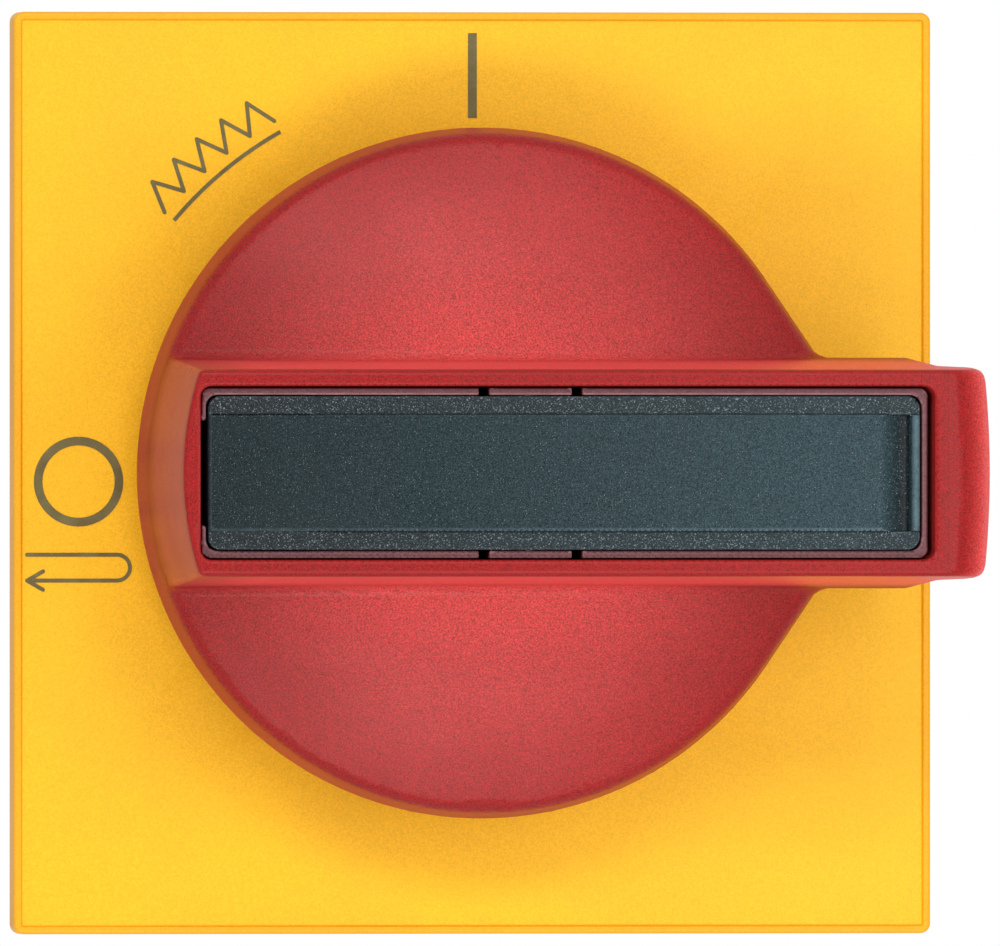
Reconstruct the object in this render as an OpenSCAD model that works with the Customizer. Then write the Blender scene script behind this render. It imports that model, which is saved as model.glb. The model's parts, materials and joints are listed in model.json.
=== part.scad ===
// Panel-mounted rotary isolator switch with a padlockable emergency-off handle.
// X points right and Z up as seen from the front of the door. The front faces -Y.
// The handle turns about the Y axis, and y = 0 is the door's front face.
// "Height" means the distance in front of the door, which is -Y.

/* [Masking plate] */
// Side of the square masking plate
plate_w = 75; // [70:0.5:80]
// Radius of the plate's outer corners
plate_corner_r = 0.8; // [0.5:0.1:2]
// Height of the plate's face in front of the door
face_h = 3.7; // [3.5:0.1:4.5]
// Thickness of the plate's face
face_t = 1.3; // [1:0.1:1.4]
// Width of the raised rim round the face
rim_w = 0.8; // [0.5:0.1:1.5]
// How far the rim stands above the face
rim_step = 0.3; // [0.2:0.1:0.6]
// Thickness of the plate's side wall
plate_wall = 2; // [1.5:0.1:3]

/* [Handle] */
// Radius of the round skirt where it meets the dome
skirt_r = 28.3; // [27.5:0.1:29]
// Gap between the skirt and the plate's face
skirt_gap = 0.8; // [0.5:0.1:1.2]
// Height of the dome's crown above the plate's face
dome_crown = 15.7; // [15:0.1:17]
// Radius of the sphere that forms the dome
dome_r = 64; // [60:1:80]
// Angle, from the lever, at which the straight flanks leave the skirt circle
flank_angle = 34; // [30:1:40]
// Height of the grip's front above the plate's face
grip_h = 30; // [29:0.5:32]
// Width of the grip at its front
grip_front_w = 17; // [16.5:0.1:17.5]
// Width of the grip at its foot
grip_foot_w = 18.6; // [18:0.1:19.5]
// Reach of the lever's nose from the axis
nose_x = 39.4; // [39:0.1:41]
// Radius of the grip's rounded blind end at its front
grip_end_r = 26.9; // [26.6:0.1:27.3]
// Wall thickness of the handle shell
shell_t = 2.2; // [2:0.1:2.6]

/* [Padlock bar] */
// Width of the slot in the grip
slot_w = 14; // [13.8:0.1:14.4]
// Left end of the slot
slot_x0 = -25.4; // [-25.6:0.1:-25.2]
// Right end of the slot
slot_x1 = 34.4; // [34.2:0.1:34.8]
// Width of the padlock bar
bar_w = 12.5; // [12.2:0.1:12.6]
// Thickness of the bar's top plate
bar_t = 2.4; // [2:0.1:2.6]
// Depth of the bar's face below the front of the grip
bar_inset = 0.6; // [0.4:0.1:0.9]
// Place of the bar's pivot along the grip
pivot_x = 1.7; // [1.5:0.1:2]
// Angle to which the bar swings out
bar_swing = 28; // [24:1:28]
// Radius of the bar's pivot pin
pivot_r = 1.2; // [1:0.1:1.4]

/* [Lock bolt] */
// Distance of the lock bolt from the handle's axis
bolt_x = 12.2; // [12:0.1:12.6]
// Radius of the lock bolt
bolt_r = 2; // [1.8:0.1:2]
// Running clearance on radius of pins and journals
run_gap = 0.05; // [0.03:0.01:0.08]

/* [Behind the door] */
// Thickness of the door that the switch is clamped to
door_t = 3; // [1:0.5:4]
// Side of the square switch body
body_w = 48; // [48:1:52]
// Spacing of the four door screws
screw_pitch = 36; // [36:0.5:37]
// Depth of one contact deck
deck_t = 12; // [12:0.5:14]
// Depth of the latch housing
latch_t = 14; // [14:0.5:16]
// Across flats of the square shaft
shaft_af = 6; // [5.5:0.1:6]

/* [Hidden] */
$fn = 64;
e = 0.01;

// Heights in front of the door
rim_h = face_h + rim_step;
bearing_h = face_h - face_t;
skirt_h = face_h + skirt_gap;
crown_h = face_h + dome_crown;
grip_top_h = face_h + grip_h;
floor_h = 16;
floor_under_h = 13.5;
bar_top_h = grip_top_h - bar_inset;
bar_under_h = bar_top_h - bar_t;
pivot_h = bar_under_h - 2.3;
liner_h = grip_top_h - 1;

// Handle
nose_r = 3.9;
nose_lip_r = 3.4;
lever_end_x = nose_x - 4.6;
lever_under_h = face_h + 8;
flank_x = skirt_r / cos(flank_angle) - grip_foot_w / 2 * tan(flank_angle);
slot_corner_r = 0.9;
boss_r = 8.6;
hub_flange_r = 6.5;
hub_flange_h = 9;
journal_r = 5.95;
journal_end = 5;

// Padlock bar. Its cheeks and its eye are drawn about the pivot
bar_x0 = slot_x0 + 0.75;
bar_x1 = slot_x1 - 1.1;
bar_edge_drop = 0.4;
bar_edge_band = 1.5;
cheek_r = 31;
eye_r = 29.2;
eye_start = 9;
eye_strip = 1.6;
cheek_inner = 3.6;
cheek_outer = 5.6;
liner_t = 0.5;
tongue_half = 3.77;
slit_w = 0.85;
slit_h = 23;
scoop_r = 1.7;
scoop_x = bar_x1 - 1.9;
scoop_h = bar_top_h + 0.75;

// Lock bolt
bolt_tip_h = 7.8;
bolt_nose_r = 1.6;
bolt_top_h = bar_under_h - 0.15;
collar_top_h = bolt_top_h - 4;
collar_t = 1.2;
collar_r = 3.2;
well_r = 3.4;
well_h = 9.7;
guide_h = 5.2;
guide_r = 4.4;
lock_hole_r = 2.3;

// Panel parts
collar_front_h = face_h + 0.5;
bearing_collar_r = 7.4;
bearing_r = journal_r + run_gap;
seal_wire_r = 0.6;
seal_out_r = bearing_r + 2 * seal_wire_r;
spigot_r = 11;
spigot_end = 5.5;
door_screw_r = 2;
door_screw_head_r = 3.9;
door_screw_end = 10;
// The thread starts just before the latch housing and is drawn at its pitch radius
thread_r = 1.7;
thread_y = door_t - 0.2;
screw_relief_r = 3.3;
screw_relief_t = 0.6;
gasket_out = 58;
gasket_in = 51;
gasket_t = 1.2;

// Latch
spring_gap = 0.3;
latch_y0 = door_t;
latch_y1 = latch_y0 + latch_t;
latch_cavity_y = latch_y0 + 3;
latch_cavity_r = 14.5;
wheel_r = 13;
wheel_y0 = latch_y0 + 5;
wheel_y1 = latch_y0 + 10.5;
stop_y0 = latch_y1 - 1.2;
stop_pin_r = 1.2;
stop_pin_at = 10;
plunger_w = 6;
plunger_nose_r = 3;
plunger_in = wheel_r + run_gap;
plunger_out = 17.6;
plunger_y0 = latch_y0 + 5;
plunger_y1 = latch_y0 + 10;
spring_seat_x = 22;
nut_w = 7;
nut_t = 3.2;

// Decks, one for each pole
decks = 3;
decks_y0 = latch_y1;
decks_y1 = decks_y0 + decks * deck_t;
cover_t = 4;
cover_y1 = decks_y1 + cover_t;
deck_floor = 1.5;
deck_cavity_r = 13.2;
rotor_r = 9;
core_r = 4.6;
blade_w = 5.2;
blade_len = 25;
blade_ring_r = 6.5;
contact_t = 1.4;
blade_t = 1.1;
blade_gap = 0.1;
terminal_x = 13;
terminal_z = 17.5;
clamp_w = 8.8;
clamp_d = 6;
clamp_wall = 1.4;
tie_x = 20;
tie_z = 6.5;
tie_r = 1.5;

// Marks printed on the masking plate
mark_t = 0.05;
stroke = 0.32;
on_mark_w = 0.72;
on_mark_z = [28.9, 35.8];
off_mark_at = [-32.2, -0.7];
off_mark_r = 3.65;
off_mark_w = 0.7;
trip_arc_r = 31.9;
trip_wave_r = 34.1;
trip_wave_h = 1.2;
trip_from = 119.5;
trip_to = 139.9;
reset_at = [-32.2, -7.7];
reset_len = 8.4;
reset_r = 1.05;

// Extrudes a shape drawn in X and Z from depth y0 to y1
module slab(y0, y1) {
    translate([0, y1, 0]) rotate([90, 0, 0]) linear_extrude(y1 - y0) children();
}

// The same between two heights in front of the door
module front_slab(h0, h1) {
    slab(-h1, -h0) children();
}

// Cone along Y from radius r0 at y0 to r1 at y1
module taper(y0, y1, r0, r1) {
    translate([0, y1, 0]) rotate([90, 0, 0]) cylinder(h = y1 - y0, r1 = r1, r2 = r0);
}

module square_of(w, r = 0) {
    if (r > 0) {
        square([w - 2 * r, w], center = true);
        square([w, w - 2 * r], center = true);
        for (x = [-1, 1], z = [-1, 1])
            translate([x * (w / 2 - r), z * (w / 2 - r)]) circle(r);
    } else {
        square(w, center = true);
    }
}

module at_corners(x, z) {
    for (i = [-1, 1], j = [-1, 1]) translate([i * x, 0, j * z]) children();
}

// Rectangle from x0 to x1, centred on Z, with round corners
module bar_2d(x0, x1, w, r) {
    translate([x0 + r, -w / 2]) square([x1 - x0 - 2 * r, w]);
    translate([x0, r - w / 2]) square([x1 - x0, w - 2 * r]);
    for (x = [x0 + r, x1 - r], z = [r - w / 2, w / 2 - r]) translate([x, z]) circle(r);
}

// Points on an arc
function arc(cx, cz, r, a0, a1, n) =
    [for (i = [0:n]) [cx + r * cos(a0 + (a1 - a0) * i / n), cz + r * sin(a0 + (a1 - a0) * i / n)]];

// Coil spring along X from 0 to len, as a tube swept round a helix
module coil(r, wire_r, len, turns) {
    sides = 6;
    rings = turns * 18;
    pitch = (len - 2 * wire_r) / rings;
    points = [for (i = [0:rings], k = [0:sides - 1])
        let (a = i * 20, b = k * 360 / sides, rr = r + wire_r * cos(b))
        [wire_r + i * pitch + wire_r * sin(b), rr * cos(a), rr * sin(a)]];
    sides_faces = [for (i = [0:rings - 1], k = [0:sides - 1])
        let (m = (k + 1) % sides)
        [i * sides + k, (i + 1) * sides + k, (i + 1) * sides + m, i * sides + m]];
    first = [for (k = [0:sides - 1]) k];
    last = [for (k = [sides - 1:-1:0]) rings * sides + k];
    polyhedron(points, concat(sides_faces, [first, last]), convexity = 10);
}

/* ---------- masking plate and what is printed on it ---------- */

module masking_plate() {
    color("gold") difference() {
        front_slab(0, rim_h) square_of(plate_w, plate_corner_r);
        front_slab(face_h, rim_h + 1) square_of(plate_w - 2 * rim_w);
        front_slab(-1, bearing_h) square_of(plate_w - 2 * plate_wall);
        front_slab(-1, rim_h) circle(bearing_collar_r);
        for (a = [90, 180]) front_slab(-1, rim_h)
            rotate(a) translate([bolt_x, 0]) circle(lock_hole_r);
    }
}

// A thin line between two points, with round ends
module line_2d(a, b, w = stroke) {
    d = b - a;
    translate(a) rotate(atan2(d[1], d[0])) translate([0, -w / 2]) square([norm(d), w]);
    for (p = [a, b]) translate(p) circle(d = w);
}

module path_2d(points, w = stroke) {
    for (i = [0:len(points) - 2]) line_2d(points[i], points[i + 1], w);
}

// Ring between two angles
module ring_sector(r, w, a0, a1) {
    reach = 2 * (r + w);
    intersection() {
        difference() {
            circle(r + w / 2);
            circle(r - w / 2);
        }
        polygon(concat([[0, 0]], arc(0, 0, reach, a0, a1, ceil((a1 - a0) / 45))));
    }
}

module off_mark_2d() {
    translate(off_mark_at) difference() {
        circle(off_mark_r);
        circle(off_mark_r - off_mark_w);
    }
}

// The tripped position: a zigzag over an arc
module trip_mark_2d() {
    teeth = 10;
    step = (trip_to - trip_from) / teeth;
    ring_sector(trip_arc_r, stroke, trip_from, trip_to);
    path_2d([for (i = [0:teeth])
        let (r = trip_wave_r + (i % 2 == 0 ? -1 : 1) * trip_wave_h, a = trip_from + i * step)
        r * [cos(a), sin(a)]]);
}

// The reset mark: an arrow that turns back on itself
module reset_mark_2d() {
    half = reset_len / 2;
    translate(reset_at) {
        line_2d([-half, reset_r], [half - reset_r, reset_r]);
        line_2d([-half, -reset_r], [half - reset_r, -reset_r]);
        translate([half - reset_r, 0]) ring_sector(reset_r, stroke, -90, 90);
        for (s = [-1, 1]) line_2d([-half, -reset_r], [-half + 1.3, -reset_r + s * 0.75]);
    }
}

module scale_marks() {
    color("darkolivegreen") front_slab(face_h, face_h + mark_t) {
        translate([-on_mark_w / 2, on_mark_z[0]]) square([on_mark_w, on_mark_z[1] - on_mark_z[0]]);
        off_mark_2d();
        trip_mark_2d();
        reset_mark_2d();
    }
}

/* ---------- what carries the handle on the door ---------- */

module bearing_plate() {
    plate_in = plate_w - 2 * plate_wall;
    color("dimgray") difference() {
        union() {
            front_slab(0, bearing_h) square_of(plate_in);
            front_slab(0, collar_front_h) circle(bearing_collar_r);
            slab(-e, spigot_end) circle(spigot_r);
        }
        slab(-collar_front_h - 1, spigot_end + 1) circle(bearing_r);
        slab(0.2, 2.2) circle(seal_out_r);
        at_corners(screw_pitch / 2, screw_pitch / 2) {
            slab(-bearing_h - 1, 1) circle(door_screw_r);
            taper(-bearing_h, -bearing_h + 2, door_screw_head_r, door_screw_r);
            slab(-screw_relief_t, 1) circle(screw_relief_r);
        }
        for (a = [90, 180]) front_slab(0.2, bearing_h + 1)
            rotate(a) translate([bolt_x, 0]) circle(lock_hole_r);
        slab(-gasket_t, 1) difference() {
            square_of(gasket_out);
            square_of(gasket_in);
        }
    }
}

module shaft_seal() {
    color("black") translate([0, 1.2, 0]) rotate([90, 0, 0]) rotate_extrude()
        translate([bearing_r + seal_wire_r, 0]) circle(seal_wire_r, $fn = 24);
}

module door_gasket() {
    color("black") slab(-gasket_t, 0) difference() {
        square_of(gasket_out);
        square_of(gasket_in);
    }
}

module door_screws() {
    color("silver") at_corners(screw_pitch / 2, screw_pitch / 2) difference() {
        union() {
            taper(-bearing_h, -bearing_h + 2, door_screw_head_r, door_screw_r);
            slab(-bearing_h + 1, thread_y) circle(door_screw_r);
            slab(thread_y - e, door_screw_end) circle(thread_r);
        }
        slab(-bearing_h - 1, -bearing_h + 1) square([4.4, 0.9], center = true);
        slab(-bearing_h - 1, -bearing_h + 1) square([0.9, 4.4], center = true);
    }
}

module clamp_nuts() {
    color("silver") at_corners(screw_pitch / 2, screw_pitch / 2)
        slab(latch_cavity_y, latch_cavity_y + nut_t) difference() {
            square_of(nut_w);
            circle(thread_r);
        }
}

/* ---------- handle ---------- */

// Outline of the skirt: a circle with straight flanks that run to the grip
module teardrop_2d(inset = 0) {
    r = skirt_r - inset;
    tip_x = flank_x - inset * tan(flank_angle) * 0.5 - inset;
    tip_z = grip_foot_w / 2 - inset;
    circle(r, $fn = 128);
    polygon([r * [cos(flank_angle), sin(flank_angle)], [tip_x, tip_z],
        [tip_x, -tip_z], r * [cos(flank_angle), -sin(flank_angle)]]);
}

module dome(inset = 0) {
    translate([0, dome_r - crown_h, 0]) sphere(dome_r - inset, $fn = 128);
}

// Side of the grip: flat front, rounded nose with a lip under it, and the lever's underside
grip_side_points = concat(
    [[-skirt_r, skirt_h], [-skirt_r, grip_top_h]],
    arc(nose_x - nose_r, grip_top_h - nose_r, nose_r, 90, 0, 9),
    arc(nose_x - nose_lip_r, grip_top_h - nose_r, nose_lip_r, -9, -90, 6),
    [[lever_end_x, lever_under_h], [flank_x - 3, lever_under_h], [flank_x - 3, skirt_h]]);

module grip_block() {
    foot = grip_foot_w / 2;
    front = grip_front_w / 2;
    intersection() {
        rotate([90, 0, 90]) translate([0, 0, -skirt_r]) linear_extrude(skirt_r + nose_x + 1)
            polygon([[-skirt_h, -foot], [-skirt_h, foot], [-grip_top_h, front], [-grip_top_h, -front]]);
        translate([0, 0, -foot]) linear_extrude(2 * foot)
            polygon([for (p = grip_side_points) [p[0], -p[1]]]);
        union() {
            taper(-grip_top_h, -skirt_h, grip_end_r, skirt_r);
            front_slab(skirt_h, grip_top_h) translate([0, -foot]) square([nose_x, 2 * foot]);
        }
    }
}

module handle_shell() {
    color("firebrick") difference() {
        union() {
            difference() {
                intersection() {
                    front_slab(skirt_h, crown_h) teardrop_2d();
                    dome();
                }
                intersection() {
                    front_slab(0, crown_h) teardrop_2d(shell_t);
                    dome(shell_t);
                    difference() {
                        front_slab(0, crown_h) circle(2 * skirt_r);
                        front_slab(floor_under_h, crown_h + 1)
                            square([4 * skirt_r, grip_foot_w - 1], center = true);
                    }
                }
            }
            difference() {
                grip_block();
                front_slab(0, floor_under_h) teardrop_2d(shell_t);
            }
            front_slab(guide_h, floor_h) {
                circle(boss_r);
                translate([-bolt_x, 0]) circle(guide_r);
            }
        }
        front_slab(floor_h, grip_top_h + 1) bar_2d(slot_x0, slot_x1, slot_w, slot_corner_r);
        front_slab(0, floor_under_h) circle(hub_flange_r);
        front_slab(floor_under_h - 1, floor_h + 1) circle(door_screw_r);
        front_slab(0, floor_h + 1) translate([-bolt_x, 0]) circle(bolt_r + run_gap);
        front_slab(well_h, floor_h + 1) translate([-bolt_x, 0]) circle(well_r);
    }
}

// Thin frame inside the slot, with a sprung tongue on each side that carries the pivot pin
module grip_liner() {
    inner_w = slot_w - 2 * liner_t;
    inner_x1 = slot_x1 - liner_t;
    color("rosybrown") difference() {
        front_slab(floor_h, liner_h) difference() {
            bar_2d(slot_x0, slot_x1, slot_w, slot_corner_r);
            translate([slot_x0 - 1, -inner_w / 2]) square([inner_x1 - slot_x0 + 1, inner_w]);
        }
        for (s = [-1, 1]) front_slab(slit_h, liner_h + 1)
            translate([pivot_x + s * tongue_half - slit_w / 2, -slot_w]) square([slit_w, 2 * slot_w]);
        translate([pivot_x, -pivot_h, 0]) cylinder(h = slot_w + 2, r = pivot_r, center = true);
    }
}

module bar_pivot_pin() {
    color("silver") translate([pivot_x, -pivot_h, 0])
        cylinder(h = slot_w - 0.1, r = pivot_r, center = true);
}

// Region above the line where the front of the grip lies when the bar is swung out
module above_front_2d(drop) {
    reach = 40;
    rotate(-bar_swing) translate([-reach, grip_top_h - pivot_h - drop]) square([2 * reach, reach]);
}

// One cheek of the bar, drawn about the pivot, with the eye for the padlocks
module cheek_2d() {
    under = bar_under_h - pivot_h;
    difference() {
        intersection() {
            circle(cheek_r, $fn = 128);
            above_front_2d(eye_strip);
            translate([eye_start - 2, under - 20]) square([cheek_r, 20 + e]);
        }
        intersection() {
            circle(eye_r, $fn = 128);
            above_front_2d(0);
            translate([eye_start, under - 20]) square([eye_r, 20]);
        }
    }
}

module padlock_bar() {
    half = bar_w / 2;
    field = half - bar_edge_band;
    edge_h = bar_top_h - bar_edge_drop;
    boss_w = 3.6;
    color("darkslategray") difference() {
        union() {
            intersection() {
                front_slab(bar_under_h, bar_top_h) bar_2d(bar_x0, bar_x1, bar_w, 0.7);
                rotate([90, 0, 90]) translate([0, 0, bar_x0]) linear_extrude(bar_x1 - bar_x0)
                    polygon([[-bar_under_h, -half], [-bar_under_h, half], [-edge_h, half],
                        [-bar_top_h, field], [-bar_top_h, -field], [-edge_h, -half]]);
            }
            front_slab(pivot_h - 2.6, bar_under_h + e)
                translate([pivot_x - boss_w, -half]) square([2 * boss_w, bar_w]);
            for (z = [-cheek_outer, cheek_inner]) translate([pivot_x, -pivot_h, z])
                linear_extrude(cheek_outer - cheek_inner) mirror([0, 1]) cheek_2d();
        }
        translate([pivot_x, -pivot_h, 0])
            cylinder(h = bar_w + 2, r = pivot_r + run_gap, center = true);
        translate([scoop_x, -scoop_h, 0])
            cylinder(h = 2 * field, r = scoop_r, center = true);
    }
}

module lock_bolt() {
    color("silver") translate([-bolt_x, 0, 0]) union() {
        front_slab(bolt_tip_h, collar_top_h) circle(bolt_r);
        front_slab(collar_top_h - collar_t, collar_top_h) circle(collar_r);
        front_slab(collar_top_h - e, bolt_top_h - bolt_nose_r) circle(bolt_nose_r);
        translate([0, bolt_nose_r - bolt_top_h, 0]) sphere(bolt_nose_r);
    }
}

module lock_bolt_spring() {
    wire = 0.25;
    color("gray") translate([-bolt_x, -well_h, 0]) rotate([0, 0, -90])
        coil(bolt_r + 0.3 + wire, wire, collar_top_h - collar_t - well_h, 8);
}

module handle_hub() {
    color("lightgray") difference() {
        union() {
            front_slab(hub_flange_h, floor_under_h) circle(hub_flange_r);
            slab(-hub_flange_h - e, journal_end) circle(journal_r);
        }
        slab(-7, journal_end + 1) square_of(shaft_af);
        front_slab(7, floor_under_h + 1) circle(door_screw_r);
    }
}

module hub_screw() {
    head_t = 2.4;
    color("silver") difference() {
        union() {
            front_slab(floor_h, floor_h + head_t) circle(3.5);
            front_slab(7.4, floor_h + e) circle(door_screw_r);
        }
        front_slab(floor_h + head_t - 1.2, floor_h + head_t + 1) {
            square([4, 0.9], center = true);
            square([0.9, 4], center = true);
        }
    }
}

module square_shaft() {
    color("silver") slab(-7, decks_y1 + 1) square_of(shaft_af);
}

/* ---------- latch behind the door ---------- */

module tie_holes(y0, y1) {
    at_corners(tie_x, tie_z) slab(y0, y1) circle(tie_r);
}

module latch_housing() {
    color("dimgray") difference() {
        slab(latch_y0, latch_y1) square_of(body_w, 2);
        slab(latch_y0 - 1, spigot_end) circle(spigot_r);
        slab(latch_y0 - 1, latch_y1) circle(hub_flange_r);
        slab(latch_cavity_y, latch_y1 + 1) circle(latch_cavity_r);
        for (s = [-1, 1]) {
            slab(plunger_y0 - run_gap, plunger_y1 + run_gap)
                translate([s * spring_seat_x / 2, 0])
                    square([spring_seat_x, plunger_w + 2 * run_gap], center = true);
            for (z = [-1, 1]) slab(latch_cavity_y, latch_cavity_y + nut_t)
                translate([s * screw_pitch / 2 + s * 2, z * screw_pitch / 2])
                    square([nut_w + 4, nut_w], center = true);
        }
        at_corners(screw_pitch / 2, screw_pitch / 2)
            slab(latch_y0 - 1, door_screw_end) circle(thread_r);
        tie_holes(latch_y0 - 1, latch_y1 + 1);
        at_corners(tie_x, tie_z) slab(latch_y0 - 1, latch_y0 + 2) circle(2.8);
    }
}

// Cam star with a notch for each handle position, and the pin that meets the end stops
module detent_wheel() {
    notch_r = 1.4;
    color("ivory") difference() {
        union() {
            slab(wheel_y0, wheel_y1) circle(wheel_r);
            slab(latch_cavity_y + 0.3, stop_y0 - 0.3) circle(6.2);
            slab(wheel_y1 - e, latch_y1 - 0.3) rotate(135) translate([stop_pin_at, 0]) circle(stop_pin_r);
        }
        slab(latch_y0, latch_y1) square_of(shaft_af);
        for (a = [0:45:315]) slab(wheel_y0 - 1, wheel_y1 + 1)
            rotate(a) translate([wheel_r + 0.6, 0]) circle(notch_r);
    }
}

// Plunger that rides on the wheel, drawn to the right of the axis
module plunger() {
    half = plunger_w / 2;
    length = plunger_out - plunger_in;
    slab(plunger_y0, plunger_y1) intersection() {
        translate([plunger_in, -half]) square([length, plunger_w]);
        union() {
            translate([plunger_in + plunger_nose_r, 0]) circle(plunger_nose_r);
            translate([plunger_in + plunger_nose_r, -half]) square([length, plunger_w]);
        }
    }
}

module detent_plunger_left() {
    color("silver") mirror([1, 0, 0]) plunger();
}

module detent_plunger_right() {
    color("silver") plunger();
}

module detent_spring() {
    translate([plunger_out + spring_gap, (plunger_y0 + plunger_y1) / 2, 0])
        coil(1.7, 0.3, spring_seat_x - plunger_out - 2 * spring_gap, 4);
}

module detent_spring_left() {
    color("gray") mirror([1, 0, 0]) detent_spring();
}

module detent_spring_right() {
    color("gray") detent_spring();
}

// Steel disc whose curved slot stops the wheel's pin at both ends of the travel
module stop_plate() {
    end_gap = 0.3;
    slot_r = stop_pin_r + 0.3;
    spread = end_gap / stop_pin_at * 180 / PI;
    color("silver") slab(stop_y0, latch_y1) difference() {
        circle(latch_cavity_r);
        circle(hub_flange_r);
        ring_sector(stop_pin_at, 2 * slot_r, 45 - spread, 135 + spread);
        for (a = [45 - spread, 135 + spread]) rotate(a) translate([stop_pin_at, 0]) circle(slot_r);
    }
}

/* ---------- contact decks ---------- */

// Puts a deck's parts at the place of deck i, counted from the door
module in_deck(i) {
    translate([0, decks_y0 + (i - 1) * deck_t, 0]) children();
}

// Both terminals of a deck: the line side on top, the load side underneath
module both_sides() {
    for (a = [0, 180]) rotate([0, a, 0]) children();
}

module deck_housing(i) {
    mid = deck_t / 2;
    color("darkgray") in_deck(i) difference() {
        slab(0, deck_t) square_of(body_w, 2);
        slab(-1, deck_t) circle(core_r + 0.9);
        slab(deck_floor, deck_t + 1) circle(deck_cavity_r);
        both_sides() {
            slab(mid - 4, mid + 4) {
                translate([terminal_x - clamp_w / 2, terminal_z - clamp_d / 2]) square([clamp_w, clamp_d]);
            }
            slab(mid - 3, mid + 3) {
                translate([terminal_x - 3, 12]) square([6.2, body_w]);
            }
            slab(mid - contact_t / 2, mid + contact_t / 2)
                translate([-2.6, 8]) square([terminal_x, 8]);
            translate([0, mid, terminal_z]) rotate([0, 90, 0]) cylinder(h = body_w, r = 3.2);
        }
        tie_holes(-1, deck_t + 1);
    }
}

module contact_rotor(i) {
    color("ivory") in_deck(i) difference() {
        slab(deck_floor + 0.3, deck_t - 0.3) circle(rotor_r);
        slab(0, deck_t) square_of(shaft_af);
        blade_pair();
    }
}

// Outline of a bridging blade, which lies across the gap while the switch is off
module blade_2d() {
    difference() {
        union() {
            square([blade_len, blade_w], center = true);
            circle(blade_ring_r);
        }
        circle(core_r);
    }
}

module blade_pair() {
    mid = deck_t / 2;
    near = contact_t / 2 + blade_gap;
    slab(mid - near - blade_t, mid - near) blade_2d();
    slab(mid + near, mid + near + blade_t) blade_2d();
}

module moving_contacts(i) {
    color("peru") in_deck(i) blade_pair();
}

module fixed_contacts(i) {
    mid = deck_t / 2;
    tab_x = terminal_x - 3;
    color("peru") in_deck(i) both_sides() {
        slab(mid - contact_t / 2, mid + contact_t / 2) {
            translate([-2.6, 10]) square([5.2, 4.4]);
            translate([-2.6, 13.2]) square([tab_x + 3.8, 1.2]);
        }
        slab(mid - 2.9, mid + 2.9) translate([tab_x, 13.2]) square([1.2, 8]);
    }
}

module terminal_clamps(i) {
    mid = deck_t / 2;
    color("silver") in_deck(i) both_sides() difference() {
        slab(mid - 4, mid + 4)
            translate([terminal_x - clamp_w / 2, terminal_z - clamp_d / 2]) square([clamp_w, clamp_d]);
        slab(mid - 3, mid + 3)
            translate([terminal_x - clamp_w / 2 + clamp_wall, 0])
                square([clamp_w - 2 * clamp_wall, body_w]);
        translate([terminal_x, mid, terminal_z]) rotate([0, 90, 0]) cylinder(h = body_w, r = door_screw_r);
    }
}

module terminal_screws(i) {
    mid = deck_t / 2;
    tip_x = terminal_x + 2.9;
    head_x = terminal_x + 6.5;
    head_t = 2.2;
    color("silver") in_deck(i) both_sides() translate([0, mid, terminal_z]) rotate([0, 90, 0])
        difference() {
            union() {
                translate([0, 0, tip_x]) cylinder(h = head_x - tip_x + e, r = door_screw_r);
                translate([0, 0, head_x]) cylinder(h = head_t, r = 3);
            }
            translate([0, 0, head_x + head_t]) cube([0.9, 7, 2], center = true);
        }
}

module rear_cover() {
    color("darkgray") difference() {
        slab(decks_y1, cover_y1) square_of(body_w, 2);
        slab(decks_y1 - 1, decks_y1 + 2) circle(core_r + 0.9);
        tie_holes(decks_y1 - 1, cover_y1 + 1);
    }
}

module tie_bolts() {
    color("silver") at_corners(tie_x, tie_z) difference() {
        union() {
            slab(latch_y0, latch_y0 + 2) circle(2.8);
            slab(latch_y0 + 1, cover_y1 + 3) circle(tie_r);
        }
        slab(latch_y0 - 1, latch_y0 + 1) square([3.6, 0.8], center = true);
    }
}

module tie_nuts() {
    color("silver") at_corners(tie_x, tie_z) slab(cover_y1, cover_y1 + 2.4) difference() {
        circle(3.1, $fn = 6);
        circle(tie_r);
    }
}

masking_plate();
scale_marks();
bearing_plate();
door_gasket();
door_screws();
clamp_nuts();
shaft_seal();
handle_shell();
grip_liner();
padlock_bar();
bar_pivot_pin();
lock_bolt();
lock_bolt_spring();
handle_hub();
hub_screw();
square_shaft();
latch_housing();
detent_wheel();
detent_plunger_left();
detent_plunger_right();
detent_spring_left();
detent_spring_right();
stop_plate();
for (i = [1:decks]) {
    deck_housing(i);
    contact_rotor(i);
    moving_contacts(i);
    fixed_contacts(i);
    terminal_clamps(i);
    terminal_screws(i);
}
rear_cover();
tie_bolts();
tie_nuts();
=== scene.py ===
"""Looks of the rotary isolator switch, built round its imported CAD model.

Lengths are in millimetres and become metres only when a mesh is made. x is right, y is
backwards and z is up. h, the height in front of the door, is -y.
"""

import json
import math

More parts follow.
